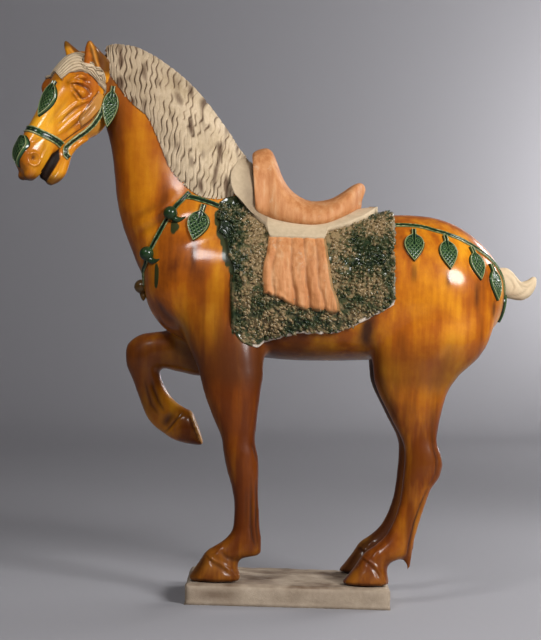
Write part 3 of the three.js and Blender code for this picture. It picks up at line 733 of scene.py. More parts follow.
EAR = (
    (-301, 690, -259, 672, -22, 8),
    (-301, 701, -261, 692, -24, 9.5),
    (-302, 711, -266, 705, -28, 9.5),
    (-303, 719, -278, 714, -31.5, 8),
    (-302.5, 725, -289, 722, -34, 5.5),
    (-300.5, 730, -297, 729, -36, 2),
)
EAR_SHIFTS = {LEFT: Vector((0, 0, 0)), RIGHT: Vector((-1, 2, 7))}
EAR_HOLLOWS = ((-292, -33, 704, 4), (-296, -37, 714, 4), (-287, -29, 696, 3))
HEAD_GRAIN = 1.25 * MM

# Balls of clay under the skin: place, size, and how far they tip.
EYE_BALL = ((-308, 26, 661), (24, 17, 18), 25)
BROW = ((-309, 24, 679), (36, 20, 13), 28)
FAR_BROW = ((-324, 26, 671), (30, 20, 27), 30)
NOSTRIL_WING = ((-366, 14.5, 571), (13, 8, 13), 60)
LIP = ((-366, 9, 553), (22, 14, 16), 40)

# The head turns about the poll, which stands a little to the left of the horse's middle.
HEAD_PIVOT = Vector((-268, -14, 0)) * MM
TURNED = (
    Matrix.Translation(HEAD_PIVOT)
    @ Matrix.Rotation(math.radians(HEAD_TURN), 4, "Z")
    @ Matrix.Translation(Vector((-HEAD_PIVOT.x, 0, 0)))
)


def ball(clay, centre, size, tip):
    """An ellipsoid of the head, with its length tipped down towards the nose."""
    place = (
        Matrix.Translation(Vector(centre) * MM)
        @ Matrix.Rotation(math.radians(-tip), 4, "Y")
        @ Matrix.Diagonal((*[edge / 2 * MM for edge in size], 1))
    )
    bmesh.ops.create_uvsphere(clay, u_segments=24, v_segments=12, radius=1, matrix=place)


lumps = bmesh.new()
limb(lumps, HEAD, squareness=2.3, sides=48)
limb(lumps, JAW, squareness=2.2)
limb(lumps, MOUTH_FLOOR, sides=24)
for side in (LEFT, RIGHT):
    balls = [EYE_BALL, BROW, NOSTRIL_WING, LIP]
    if side == RIGHT:
        balls.insert(2, FAR_BROW)
    for (x, y, z), size, tip in balls:
        ball(lumps, (x, side * y, z), size, tip)
    ear = bmesh.new()
    limb(ear, EAR, sides=28)
    if side == RIGHT:
        bmesh.ops.scale(ear, vec=(1, -1, 1), verts=ear.verts)
        bmesh.ops.translate(ear, vec=EAR_SHIFTS[RIGHT] * MM, verts=ear.verts)
        bmesh.ops.recalc_face_normals(ear, faces=ear.faces)
    join_in(lumps, ear)
head = fused(lumps, HEAD_GRAIN)
smooth_over(head, 5)
smooth_over(head, 9, lambda co: co.z < 0.70)
brown = head.verts.layers.float.new("brown")
pale = head.verts.layers.float.new("pale")
dark = head.verts.layers.float.new("dark")

# Eyes: a bulging ball in a cut socket, drawn out to a point at the inner corner. EYE is the
# middle of the ball in the side view.
EYE = (-306, 661.5)
EYE_STROKES = (
    ([(-320, 671), (-312, 671.5), (-305, 670.5), (-298, 667), (-294.5, 661)], 1.3, -3.0, 0.9),
    ([(-320, 671), (-316, 663), (-311, 656), (-305, 652.5), (-298, 655)], 1.3, -2.6, 0.9),
    ([(-323, 674), (-314, 675), (-305, 674.5), (-296, 670.5), (-291, 664)], 1.5, 2.2, 0),
    ([(-318, 660), (-312, 652.5), (-305, 649), (-297, 651), (-292, 657)], 1.5, 2.0, 0),
    ([(-318, 678), (-307, 678.5), (-297, 675)], 1.2, -2.0, 0.6),
    ([(-320, 682), (-308, 683), (-296, 679.5)], 1.8, 1.8, 0),
    ([(-316, 686), (-306, 686.5), (-298, 684)], 1.4, -1.6, 0.4),
)
work_all(head, EYE_STROKES, brown)
for side in (LEFT, RIGHT):
    press(head, (EYE[0], side * 33, EYE[1]), (7, 8, 5.5), (0, side * 2.2, 0))

# Cheek: the facial crest, two hollows below the eye, and a flat plane behind them, whose
# outline is cut with a point.
CHEEK_STROKES = (
    ([(-296, 652), (-312, 647), (-320, 639), (-329, 630), (-337, 620)], 2.2, 2.2, 0),
    ([(-300, 646), (-313, 640), (-323, 630), (-333, 618)], 1.8, -2.4, 0.6),
    ([(-290, 650), (-303, 636), (-317, 623), (-330, 609), (-337, 603)], 2.6, 2.6, 0),
    ([(-287, 645), (-299, 632), (-311, 619), (-324, 606)], 1.8, -2.4, 0.6),
    ([(-322, 655), (-331, 643), (-340, 630), (-347, 616)], 3.0, -1.0, 0.25),
)
work_all(head, CHEEK_STROKES, brown)
CHEEK_CUTS = (
    [(-281, 664), (-288, 656), (-299, 641), (-307.5, 629), (-302.5, 617)],
    [(-269, 661), (-276, 643), (-291, 625), (-303, 616)],
    [(-267, 659), (-275, 641), (-292, 622), (-309, 609), (-323, 597)],
)
for line in CHEEK_CUTS:
    work(head, line, 0.9, -1.3, fade=False, stain=1.0, dye=brown)

# Muzzle: creases over the nostril, the nostril's rim and hole, and rolled lips.
MUZZLE_CREASES = (
    ([(-368, 592), (-361, 597), (-355, 598.5)], 1.5, -1.4, 0.4),
    ([(-348, 596), (-350, 586), (-354, 577), (-357, 570)], 1.5, -1.2, 0.4),
)
NOSTRIL_RIM = (
    (-371, 577), (-365, 580), (-359, 577), (-356.5, 571), (-359, 565), (-365, 562), (-371, 565),
)
NOSTRIL = (-365.8, 571)
LIP_STROKES = (
    ([(-338, 579), (-344, 566), (-350, 557), (-356, 550), (-362, 545)], 2.2, 1.8, 0),
    ([(-334, 585), (-341, 571), (-348, 560), (-355, 552)], 1.3, -1.0, 0.5),
    ([(-322, 582), (-328, 570), (-333, 558), (-339, 550)], 2.0, 1.3, 0),
)
work_all(head, MUZZLE_CREASES, brown)
work(head, NOSTRIL_RIM, 1.6, 1.8, fade=False)
for side in (LEFT, RIGHT):
    press(head, (NOSTRIL[0], side * 20, NOSTRIL[1]), (4.6, 8, 5), (0, -side * 4.2, 0))
work_all(head, LIP_STROKES, brown)


def tint(skin, layer, region, strength=1.0):
    """Paints a layer where a region, a function of a place in millimetres, says so."""
    for vert in skin.verts:
        share = region(*(vert.co / MM)) * strength
        if share > 0:
            vert[layer] = min(1, max(vert[layer], share))


def inside_outline(outline, soft):
    """How far a place in the side view lies within a convex outline, from 0 to 1."""
    corners = [Vector(corner) for corner in outline]
    centre = sum(corners, Vector((0, 0))) / len(corners)

    def share(x, z):
        inner = 1e9
        for a, b in zip(corners, corners[1:] + corners[:1]):
            normal = Vector((b.y - a.y, a.x - b.x)).normalized()
            if normal.dot(centre - a) < 0:
                normal.negate()
            inner = min(inner, normal.dot(Vector((x, z)) - a))
        return clamped(inner / soft + 0.5)

    return share


# The flat of the cheek is painted pale, a painted reflection of a soft lamp on that plane, and the
# jowl is painted pale too. The mouth's hollow is painted near black as painted shade, with a pale
# tongue.
cheek_plane = inside_outline([(-281, 663), (-272, 660), (-277, 643), (-302, 617), (-307, 629)], 2)
tint(head, pale, lambda x, y, z: cheek_plane(x, z) if abs(y) > 8 else 0, 0.72)
jowl_plane = inside_outline([(-277, 632), (-266, 622), (-270, 612), (-287, 606), (-298, 610)], 3)
tint(head, pale, lambda x, y, z: jowl_plane(x, z) if abs(y) > 6 else 0, 0.5)
MOUTH = [(-327, 588), (-338, 580), (-352, 557), (-350, 540), (-341, 541), (-325, 574)]
mouth = inside_outline(MOUTH, 2)
tint(head, dark, lambda x, y, z: mouth(x, z))
tongue = inside_outline([(-328, 577), (-333, 566), (-338, 556), (-341, 553), (-336, 562)], 1.5)
tint(head, pale, lambda x, y, z: tongue(x, z), 0.5)


def nostril_hole(x, y, z):
    return blot(x, z, NOSTRIL[0], NOSTRIL[1] + 2, 4, 4) if abs(y) > 8 else 0


# Brown lies in the nostrils, on the ear tips, over the muzzle, behind the ears and on the chin.
tint(head, brown, nostril_hole, 0.9)
tint(head, brown, lambda x, y, z: clamped((z - 724) / 5), 0.8)
tint(head, brown, lambda x, y, z: smooth_step(-x, 335, 350) * smooth_step(-z, -605, -590), 0.22)
# The ear's rim is raised and painted pale: a painted highlight along its lit edge.
EAR_RIM = [(-300, 727), (-296, 718), (-291, 707), (-284, 694), (-279, 685)]
work(head, EAR_RIM, 1.6, 2.2, stain=0.9, dye=pale)


def behind_ear_ridge(x, y, z):
    if z < 684 or abs(y) < 14:
        return 0
    return clamped((x + 299 - 0.5 * (727 - z)) / 3) * min((z - 684) / 8, 1)


tint(head, brown, behind_ear_ridge, 0.85)
tint(head, brown, lambda x, y, z: clamped((557 - z) / 10), 0.85)

# The hollow inside each ear is pressed in with a finger tip.
for side, shift in EAR_SHIFTS.items():
    for x, y, z, deep in EAR_HOLLOWS:
        place = Vector((x, -side * y, z)) + shift
        press(head, place, (6, 6, 7), (1.5, -side * deep, 0))
head_skin = BVHTree.FromBMesh(head)
bmesh.ops.transform(head, matrix=TURNED, verts=head.verts)
head.normal_update()
head_tree = BVHTree.FromBMesh(head)
head_glaze = amber_glaze("head_glaze", thinness=0.10, leg_shade=0.0)
piece("horse_head", head, head_glaze, slot="amber_glaze")


# The rug hangs over the back to the belly line: a sheet of clay covered with short crumbs
# pressed through a sieve, glazed dark green and left bare on the high tufts. Its lower
# edge is chipped white.
SPINE = 900
CLEAR_OF_HORSE = 0.4
SEAM = 0.2 * MM
RUG_LIFT = 4.5
RUG_THICKNESS = 7
RUG_FRONT = -101
RUG_LENGTH = 229.5
CHIPPED_FROM = -52
FRAYED_FROM = 126
RUG_TOP = ((-104, 521), (-94, 529), (-81, 533), (-69.5, 533), (-69, SPINE), (130, SPINE))
RUG_HEM = (
    (-101, 486), (-97, 483), (-90, 478), (-87, 458), (-84, 447), (-79, 441), (-77.5, 436),
    (-76.5, 352), (-74, 350), (-66, 341), (-60, 338), (-46, 333), (-42, 336), (-38, 341),
    (-30, 343), (-15, 347), (-5, 350), (5, 353.5), (30, 354), (50, 355), (60, 357), (70, 361),
    (85, 369), (100, 377), (115, 385), (125, 392), (130, 398),
)


def along(points, x):
    """The height of a drawn line at x."""
    for (ax, az), (bx, bz) in zip(points, points[1:]):
        if x <= bx:
            return az + (bz - az) * clamped((x - ax) / (bx - ax))
    return points[-1][1]


def seen_at(tree, x, z, side, clear=CLEAR_OF_HORSE, far=1.0):
    """What the side view shows of a skin at x and z: the place, and the way it faces."""
    start = Vector((x * MM, side * clear, z * MM))
    return tree.ray_cast(start, Vector((0, -side, 0)), far)[:2]


def skin_arc(x, side):
    """Places down one side of the barrel, from the spine to under the belly."""
    places = []
    for degrees in range(0, 147, 2):
        angle = side * math.radians(degrees)
        inward = Vector((0, -math.sin(angle), -math.cos(angle)))
        start = Vector((x, 0, TRUNK_AXIS)) * MM - inward * CLEAR_OF_HORSE
        hit = body_tree.ray_cast(start, inward)[0]
        places.append((hit, -inward))
    return places


def arc_between(x, side, top, bottom, lift):
    """A function that runs down the arc from height top to height bottom."""
    arc = [place + out * lift * MM for place, out in skin_arc(x, side)]
    kept = [arc[0]] if arc[0].z < top * MM else []
    for a, b in zip(arc, arc[1:]):
        for level in (top * MM, bottom * MM):
            if a.z > level >= b.z:
                kept.append(a.lerp(b, (a.z - level) / (a.z - b.z)))
        if top * MM > b.z > bottom * MM:
            kept.append(b)
        if b.z <= bottom * MM:
            break
    lengths = [0]
    for a, b in zip(kept, kept[1:]):
        lengths.append(lengths[-1] + (b - a).length)

    def place(share):
        goal = share * lengths[-1]
        for i in range(1, len(kept)):
            if goal <= lengths[i]:
                step = max(lengths[i] - lengths[i - 1], 1e-9)
                return kept[i - 1].lerp(kept[i], (goal - lengths[i - 1]) / step)
        return kept[-1]

    return place


def sheet(columns, rows, place):
    """Even quads laid by a function of two shares, each from 0 to 1."""
    made = bmesh.new()
    bmesh.ops.create_grid(made, x_segments=columns, y_segments=rows, size=0.5)
    for vert in made.verts:
        vert.co = place(vert.co.x + 0.5, vert.co.y + 0.5)
    return made


def face_outwards(made, axis_z=TRUNK_AXIS):
    """Turns an open sheet so that its faces look away from the barrel's axis."""
    made.normal_update()
    out = 0
    for face in made.faces:
        centre = face.calc_center_median()
        out += face.normal.dot(Vector((0, centre.y, centre.z - axis_z * MM)))
    if out < 0:
        bmesh.ops.reverse_faces(made, faces=made.faces)
    made.normal_update()


def close_below(made, depth, way=None):
    """Turns the edges of a sheet down into what it lies on, or all one way, and closes it."""
    made.normal_update()
    rim = [edge for edge in made.edges if edge.is_boundary]
    turned = bmesh.ops.extrude_edge_only(made, edges=rim)["geom"]
    fresh = [item for item in turned if isinstance(item, bmesh.types.BMVert)]
    fresh_set = set(fresh)
    downs = {}
    for vert in fresh:
        tops = [edge.other_vert(vert) for edge in vert.link_edges]
        normal = way or next(top for top in tops if top not in fresh_set).normal
        downs[vert] = normal * depth * MM
    for vert, down in downs.items():
        vert.co -= down
    rim = [edge for edge in made.edges if edge.is_boundary]
    bottom = bmesh.ops.holes_fill(made, edges=rim, sides=0)["faces"]
    bmesh.ops.triangulate(made, faces=bottom)
    bmesh.ops.recalc_face_normals(made, faces=made.faces)


def on_both_sides(columns, rows, place_on, axis_z=TRUNK_AXIS, depth=None):
    """A sheet laid on each side of the horse, and closed below where it has a depth."""
    made = bmesh.new()
    for side in (LEFT, RIGHT):
        half = sheet(columns, rows, place_on(side))
        face_outwards(half, axis_z)
        if depth:
            close_below(half, depth)
        join_in(made, half)
    return made


def thickened(made, depth):
    """Makes a sheet into a shell of even thickness, down from its outer face."""
    made.normal_update()
    turned = bmesh.ops.extrude_face_region(made, geom=made.faces[:], use_keep_orig=True)["geom"]
    fresh = [item for item in turned if isinstance(item, bmesh.types.BMVert)]
    downs = [vert.normal * depth * MM for vert in fresh]
    for vert, down in zip(fresh, downs):
        vert.co -= down
    bmesh.ops.recalc_face_normals(made, faces=made.faces)


def draped(side, front, length, top, hem, lift):
    """A function that lays a sheet down one side of the barrel, from its top to its hem."""
    arcs = {}

    def place(u, v):
        x = front + length * u
        key = round(u, 5)
        if key not in arcs:
            arcs[key] = arc_between(x, side, top(x), hem(x), lift)
        return arcs[key](v)

    return place


def rug_place(side):
    def ragged_hem(x):
        ragged = 2.4 * noise.noise(Vector((x * 0.13, side * 7, 0)))
        ragged += 1.2 * noise.noise(Vector((x * 0.45, side * 7, 3)))
        return along(RUG_HEM, x) + ragged

    drape = draped(side, RUG_FRONT, RUG_LENGTH, lambda x: along(RUG_TOP, x), ragged_hem, RUG_LIFT)

    def place(u, v):
        point = drape(u, v)
        ends = max(0, 1 - 12 * u) + max(0, 12 * u - 11)
        point.x += ends * 3 * MM * noise.noise(point * 90)
        return point

    return place


rug = on_both_sides(columns=106, rows=100, place_on=rug_place)
bmesh.ops.remove_doubles(rug, verts=rug.verts, dist=SEAM)
chipped = rug.verts.layers.float.new("chipped")
rug.normal_update()
for vert in rug.verts:
    co = vert.co / MM
    tufts = noise.noise(co * 0.16) + noise.noise(co * 0.42) * 1.1
    vert.co += vert.normal * tufts * MM
    low = along(RUG_HEM, co.x) + 3.5 + 3 * noise.noise(co * 0.1)
    if co.x > CHIPPED_FROM and co.z < low:
        vert[chipped] = 1
    elif co.x > FRAYED_FROM:
        vert[chipped] = 0.25
smooth_over(rug, 1)
thickened(rug, RUG_THICKNESS)
rug_tree = BVHTree.FromBMesh(rug)


CHIPPED_WHITE = (0.62, 0.52, 0.42)


def rug_finish():
    material, places, shader = finish_named("rug_glaze", 0.5, coat=0.6, coat_roughness=0.15)
    patches = places.clouds(110, detail=4, roughness=0.7)
    drifts = places.clouds(24, detail=3)
    mixed = patches * 0.62 + drifts * 0.5 + places.painted("tone") * 0.34 - 0.13
    colour = mixed.ramp(
        (0.38, (0.004, 0.007, 0.003)),
        (0.49, (0.014, 0.028, 0.008)),
        (0.58, (0.070, 0.070, 0.028)),
        (0.68, (0.27, 0.185, 0.090)),
    )
    colour = colour.tinted(CHIPPED_WHITE, places.painted("chipped"))
    grit = places.clouds(420, detail=3).bumps(0.0012)
    lay_on(shader, Base_Color=colour, Normal=grit)
    return material


# Where the glaze missed the rug it is bare, and along the front edge it soaked in; just below
# the cloth's hem it is darkened as painted shadow of the cloth. Each spot is x, z, reach along
# and down, and how bare, darker where negative.
RUG_TONES = (
    (-49, 479, 14, 34, 1.0),
    (-65, 396, 14, 14, 0.6),
    (53, 446, 10, 38, 1.0),
    (88, 401, 28, 24, 0.8),
    (109, 497, 11, 13, 0.8),
    (-18, 365, 14, 8, 0.6),
    (92, 461, 26, 30, -1.0),
    (-90, 500, 16, 44, -1.2),
    (-74, 400, 6, 60, -1.0),
    # Painted shadow of the cloth, just below its hem.
    (14, 368, 20, 8, -0.8),
)


def rug_tone(x, z):
    tone = 0.52
    for at, level, wide, tall, bare in RUG_TONES:
        tone += 0.30 * bare * blot(x, z, at, level, wide, tall)
    return tone


rug_glaze = rug_finish()
tones = rug.verts.layers.float.new("tone")
# The sheet is toned darker than the crumbs laid on it: painted shade in the hollows between the
# crumbs.
for vert in rug.verts:
    vert[tones] = clamped(rug_tone(vert.co.x / MM, vert.co.z / MM) - 0.08)
piece("rug", rug, rug_glaze, slot="green_glaze")

# Crumbs of sieved clay stuck on the rug, lying every way.
random.seed(5)
CRUMB = (1.9, 1.5, 4.3)
CRUMBS = 4000
CRUMB_TOP = 520
PAST_THE_MIDDLE = 0.42


def bare_of_crumbs(x, z):
    """Under the hanging cloth, and down the smooth front edge."""
    return (-36 < x < 46 and 402 < z < 480) or (x < -86 and z < 500)


crumbs = bmesh.new()
crumbs.verts.layers.float.new("tone")
placed = 0
while placed < CRUMBS:
    batch = bmesh.new()
    tones = batch.verts.layers.float.new("tone")
    for _ in range(300):
        x = random.uniform(-102, 128)
        side = random.choice((LEFT, RIGHT))
        z = random.uniform(along(RUG_HEM, x) + 2, CRUMB_TOP)
        hit, normal = seen_at(rug_tree, x, z, side, far=PAST_THE_MIDDLE)
        if hit is None or abs(normal.y) < 0.25 or bare_of_crumbs(x, z):
            continue
        spin = Matrix.Rotation(random.uniform(0, math.pi), 4, "Z")
        lean = Matrix.Rotation(random.uniform(0.5, 1.4), 4, "X")
        stand = normal.to_track_quat("Z", "Y").to_matrix().to_4x4()
        grow = random.uniform(0.6, 1.4)
        size = Matrix.Diagonal((*[edge * grow * MM for edge in CRUMB], 1))
        place = Matrix.Translation(hit + normal * 0.7 * MM) @ stand @ spin @ lean @ size
        made = bmesh.ops.create_icosphere(batch, subdivisions=1, radius=1, matrix=place)["verts"]
        tone = clamped(rug_tone(x, z) + random.gauss(0.03, 0.12))
        for vert in made:
            vert[tones] = tone
        placed += 1
    join_in(crumbs, batch)
piece("rug_crumbs", crumbs, rug_glaze, slot="green_glaze")


# The saddle pad is a felt pad in smooth bare clay, laid over the rug. It shows as a band
# below the saddle and rises in front of the pommel as a wide hollow collar.
PAD_LIFT = 12.5
PAD_THICKNESS = 10
PAD_FRONT = -76
PAD_LENGTH = 186
PAD_HEM = (
    (-76, 530), (-71, 524), (-60, 511.5), (-50, 504.5), (-40, 498), (-37.5, 495), (-36.5, 481),
    (-30, 480), (37, 480), (38.5, 481), (40, 493), (60, 498.5), (70, 502.5), (90, 512.5),
    (106, 524), (111, 528),
)


def pad_place(side):
    return draped(
        side, PAD_FRONT, PAD_LENGTH, lambda x: SPINE, lambda x: along(PAD_HEM, x), PAD_LIFT
    )


pad = on_both_sides(columns=120, rows=40, place_on=pad_place)
bmesh.ops.remove_doubles(pad, verts=pad.verts, dist=SEAM)
smooth_over(pad, 2)
thickened(pad, PAD_THICKNESS)

# The collar's front and back edges in the side view, as z and x, and its rings: share of
# the way back, top z, stand over the body at the foot, and half width.
COLLAR_FRONT = (
    (496, -37), (500, -43), (504, -50), (511, -60), (517, -66), (524, -72), (530, -78), (535, -83),
    (545, -87), (556, -88.5), (563, -88), (572, -84), (580, -79), (588, -71), (592, -67),
)
COLLAR_BACK = (
    (496, -36), (500, -39), (510, -46), (525, -51), (540, -54), (555, -56), (570, -57), (590, -59),
)
COLLAR_FOOT = 496
COLLAR_FREE = 545
COLLAR_SIDES = 72
COLLAR = (
    (0.14, 576, 2, 54),
    (0.03, 585, 6, 62),
    (0.00, 589, 9, 65),
    (0.05, 589.5, 11, 66),
    (0.16, 587, 10.5, 64),
    (0.34, 584, 8.5, 61),
    (0.52, 582, 7.5, 59.5),
    (0.74, 581, 6, 58.5),
    (0.88, 579, 3, 55),
    (0.98, 574, -2, 49),
)


def collar_ring(share, top, rise, half):
    ring = []
    for k in range(COLLAR_SIDES + 1):
        angle = math.pi * (k / COLLAR_SIDES - 0.5)
        up = max(math.cos(angle), 0) ** 0.9
        z = COLLAR_FOOT + (top - COLLAR_FOOT) * up
        front = along(COLLAR_FRONT, z)
        x = front + (along(COLLAR_BACK, z) - front) * share
        free = half * abs(math.sin(angle)) ** 0.9
        hit = seen_at(body_tree, x, z, LEFT)[0]
        stand = abs(hit.y) / MM + rise if hit and z < COLLAR_FREE else free
        y = stand + (free - stand) * smooth_step(z, 506, COLLAR_FREE)
        ring.append(Vector((x, math.copysign(y, angle), z)) * MM)
    return ring


skinned(pad, rings_along(COLLAR, collar_ring, 3))
bmesh.ops.recalc_face_normals(pad, faces=pad.faces)
pad_tree = BVHTree.FromBMesh(pad)
brown = pad.verts.layers.float.new("brown")
for vert in pad.verts:
    x, _, z = vert.co / MM
    vert[brown] = 0.11
    # On the collar the brown grows towards the pommel: painted shade on its hollow inner face.
    if x < -38 and z > COLLAR_FOOT:
        vert[brown] = 0.24 + 0.36 * smooth_step(x, -82, -60)


def clay_finish(name, light, dark):
    """Bare clay, stained with earth in drifts and specks, and browned by its brown layer, which is
    painted shade on the pad's collar.
    """
    material, places, shader = finish_named(name, roughness=0.75)
    drifts = places.clouds(16, detail=5, roughness=0.65)
    specks = places.clouds(190, detail=3)
    between = tuple(0.5 * (a + b) for a, b in zip(light, dark))
    mixed = drifts * 0.75 + specks * 0.3
    colour = mixed.ramp((0.38, light), (0.60, between), (0.80, dark))
    colour = colour.tinted((0.085, 0.042, 0.020), places.painted("brown") * 0.92)
    colour = colour.tinted((0.05, 0.09, 0.04), places.painted("green") * 0.8)
    grain = places.clouds(900, detail=3).bumps(0.0003, places.clouds(90, detail=3).bumps(0.0007))
    lay_on(shader, Base_Color=colour, Normal=grain)
    return material


pad_clay = clay_finish("pad_clay", (0.68, 0.53, 0.35), (0.40, 0.31, 0.19))
piece("saddle_pad", pad, pad_clay, slot="bare_clay")


# The saddle is one thick piece with a high pommel and a low cantle, modelled by hand and
# luted on the pad. It is painted orange over bare clay with a wide brush. Its rings are top
# x and z, foot x and z, and how far the feet draw in.
SADDLE = (
    (-56, 578, -51, 532, 5),
    (-60, 584, -55, 524, 0),
    (-61, 591, -54, 516, -2.5),
    (-54, 597, -48, 511, -2),
    (-42, 600, -39, 508, -1),
    (-34, 595, -33, 505, 0),
    (-27, 580, -26, 503, 0),
    (-18, 558, -16, 501, 0),
    (-4, 541, -3, 499, 0),
    (20, 530, 20, 497.5, 0),
    (42, 533, 38, 500, 0),
    (60, 543, 54, 506.5, 0),
    (76, 554.5, 68, 514, 1),
    (84, 557, 77, 520, 3),
    (90, 554, 84, 526, 7),
    (92, 547, 87, 532, 12),
    (89, 541, 85, 535, 18),
)
SADDLE_FLOOR = 7
ARCH_SIDES = 48
ARCH_BOXINESS = 2.3


def arch(topx, topz, footx, footz, inset):
    """A ring over the back: an arch from foot to foot on the pad, closed underneath."""
    ring = []
    seat = None
    level = footz - 3
    while not seat:
        seat = seen_at(pad_tree, footx, level, LEFT)[0]
        level -= 2
    half = abs(seat.y) / MM + 2.0 - inset
    for k in range(ARCH_SIDES + 1):
        angle = math.pi * (k / ARCH_SIDES - 0.5)
        up = max(math.cos(angle), 0) ** (2 / ARCH_BOXINESS)
        y = half * power(math.sin(angle), 2 / ARCH_BOXINESS)
        ring.append(Vector((footx + (topx - footx) * up, y, footz + (topz - footz) * up)) * MM)
    for k in range(1, 8):
        share = 1 - k / 4
        ring.append(Vector((footx, share * half * 0.9, footz - SADDLE_FLOOR)) * MM)
    return ring


saddle = bmesh.new()
skinned(saddle, rings_along(SADDLE, arch, 3))
bmesh.ops.recalc_face_normals(saddle, faces=saddle.faces)
smooth_over(saddle, 2)


def paint_finish():
    material, places, shader = finish_named("orange_paint", roughness=0.62)
    strokes = places.stretched((130, 130, 16)).clouds(1.0, detail=4, roughness=0.6)
    wear = places.clouds(38, detail=6, roughness=0.75)
    colour = strokes.ramp(
        (0.35, (0.44, 0.165, 0.052)),
        (0.55, (0.54, 0.235, 0.088)),
        (0.75, (0.60, 0.325, 0.155)),
    )
    colour = colour.tinted((0.58, 0.45, 0.30), wear.between(0.58, 0.74) * 0.7)
    deeper = places.clouds(22, detail=3).between(0.56, 0.72)
    colour = colour.tinted((0.40, 0.145, 0.045), deeper * 0.5)
    colour = colour.tinted((0.16, 0.085, 0.045), places.painted("brown") * 0.85)
    colour = colour.tinted((0.05, 0.10, 0.04), places.painted("green") * 0.8)
    grain = places.clouds(700, detail=3).bumps(0.0003, strokes.bumps(0.0008))
    lay_on(shader, Base_Color=colour, Normal=grain)
    return material


orange_paint = paint_finish()
piece("saddle", saddle, orange_paint, slot="painted_saddle")


# A cloth hangs from under the saddle on each side, pressed into upright folds that widen
# towards a scalloped hem. It is clay, painted like the saddle.
CLOTH_TOP = 481
FOLD_LINES = ((0.15, 0.5), (0.42, 0.9), (0.62, 1.0), (0.81, 0.8))
FOLD_DEPTH = 4.2

# The cloth's front and rear edges in the side view, as z and x, and its hem, as x and z.
CLOTH_LEFT = (
    (385, -43), (408, -41), (420, -43), (435, -43), (445, -42), (455, -39), (470, -37.5),
    (481, -36.5),
)
CLOTH_RIGHT = (
    (380, 59.5), (390, 59), (398, 57), (406, 54), (415, 50), (430, 47), (445, 45), (460, 42),
    (481, 38.5),
)
CLOTH_HEM = (
    (-43, 409), (-40, 405), (-33, 402.5), (-25, 401), (-15, 395.5), (-5, 391.5), (5, 387.5),
    (15, 385.5), (25, 385), (35, 384), (45, 382.5), (55, 381.5), (60, 383),
)


def cloth_share(x, z):
    """Share of the way across the cloth and down it at a place in the side view."""
    left = along(CLOTH_LEFT, z)
    u = (x - left) / (along(CLOTH_RIGHT, z) - left)
    return u, (CLOTH_TOP - z) / (CLOTH_TOP - along(CLOTH_HEM, x))


def fold_bend(line, v):
    return line + 0.012 * math.sin(5 * v + 9 * line)


def scallop(x):
    """How far the hem hangs lower in the rolls between the folds, in millimetres."""
    return 3.4 * abs(math.sin(math.pi * (x + 16) / 18.2)) ** 0.7 - 1.6


def cloth_place(side):
    def place(u, v):
        z = CLOTH_TOP - 95 * v
        for _ in range(4):
            left = along(CLOTH_LEFT, z)
            x = left + (along(CLOTH_RIGHT, z) - left) * u
            z = CLOTH_TOP + (along(CLOTH_HEM, x) - scallop(x) - CLOTH_TOP) * v
        hit = seen_at(rug_tree, x, z, side)[0]
        swell = 0
        for line, strength in FOLD_LINES:
            swell += strength * math.exp(-(((u - fold_bend(line, v)) / 0.030) ** 2))
        billow = 0.8 * math.cos(2 * math.pi * (u * 4.1 - 0.1)) * v + 1.6 * v**4
        thick = 6.6 + billow - FOLD_DEPTH * (0.30 + 0.50 * v + 0.45 * v**6) * min(1, swell)
        thick += 0.7 * noise.noise(Vector((x * 0.12, side * 9, z * 0.03)))
        edge = min(1, 9 * min(u, 1 - u) + 0.25, 11 * (1 - v) + 0.2)
        thick *= math.sin(edge * math.pi / 2)
        return Vector((x * MM, hit.y + side * thick * MM, z * MM))

    return place


cloth = on_both_sides(columns=90, rows=70, place_on=cloth_place, depth=5)
brown = cloth.verts.layers.float.new("brown")
green = cloth.verts.layers.float.new("green")
# Brown laid down each fold line is painted shade in the creases of the folds.
for vert in cloth.verts:
    x, _, z = vert.co / MM
    u, v = cloth_share(x, z)
    for line, strength in FOLD_LINES:
        crease_shade = 0.45 + 0.55 * noise.noise(Vector((line * 50, 0, z * 0.06)))
        off = (u - fold_bend(line, v)) / 0.016
        vert[brown] = max(vert[brown], 0.8 * strength * crease_shade * math.exp(-(off**2)))
    if u > 0.965 or u < 0.02 or v > 0.985:
        vert[green] = 0.6
piece("saddle_cloths", cloth, orange_paint, slot="painted_saddle")


# The mane is combed down both sides from the crest. Each strand was cut with a comb as a
# wavy broken line, and the cuts are coloured brown.
# Its rings are the crest's x and z, and the lower edge's x and z.
MANE_LINES = (
    (-258, 729, -252, 690),
    (-246, 732, -242, 676),
    (-224, 730, -222, 652),
    (-200, 721, -200, 633),
    (-175, 706, -184, 601),
    (-150, 687, -168, 566),
    (-127, 664, -147, 543),
    (-103, 634, -124, 529),
    (-87, 612, -105, 527),
    (-74, 592, -84, 532),
)
MANE_LIFT = 4.6
STRANDS = 30
STRAND_PITCH = 8.4
MANE_WAVE = 23
NECK_AXIS = 560
mane_value = eased(MANE_LINES)


def mane_sway(x):
    """The crest leans to the horse's left towards the turned head."""
    return -16 * smooth_step(-x, 120, 262)


foot_widths = {}
mane_shares = []


def mane_place(u, v):
    """The mane's skin at a share u of the crest's length and v of the way over it."""
    mane_shares.append((u, v))
    kx, kz, ex, ez = mane_value(u)
    side = LEFT if v < 0.5 else RIGHT
    key = (round(u, 5), side)
    if key not in foot_widths:
        foot_widths[key] = seen_at(body_tree, ex, ez, side)[0].y / MM
    angle = math.pi * v
    rise = math.sin(angle)
    low, high = mane_sway(ex), mane_sway(kx)
    lift = MANE_LIFT * min(1, 6 * min(v, 1 - v) + 0.35)
    width = abs(foot_widths[key] - low) + lift
    x = ex + (kx - ex) * rise
    z = ez + (kz - ez) * rise
    y = low + (high - low) * rise + side * width * abs(math.cos(angle))
    return Vector((x, y, z)) * MM


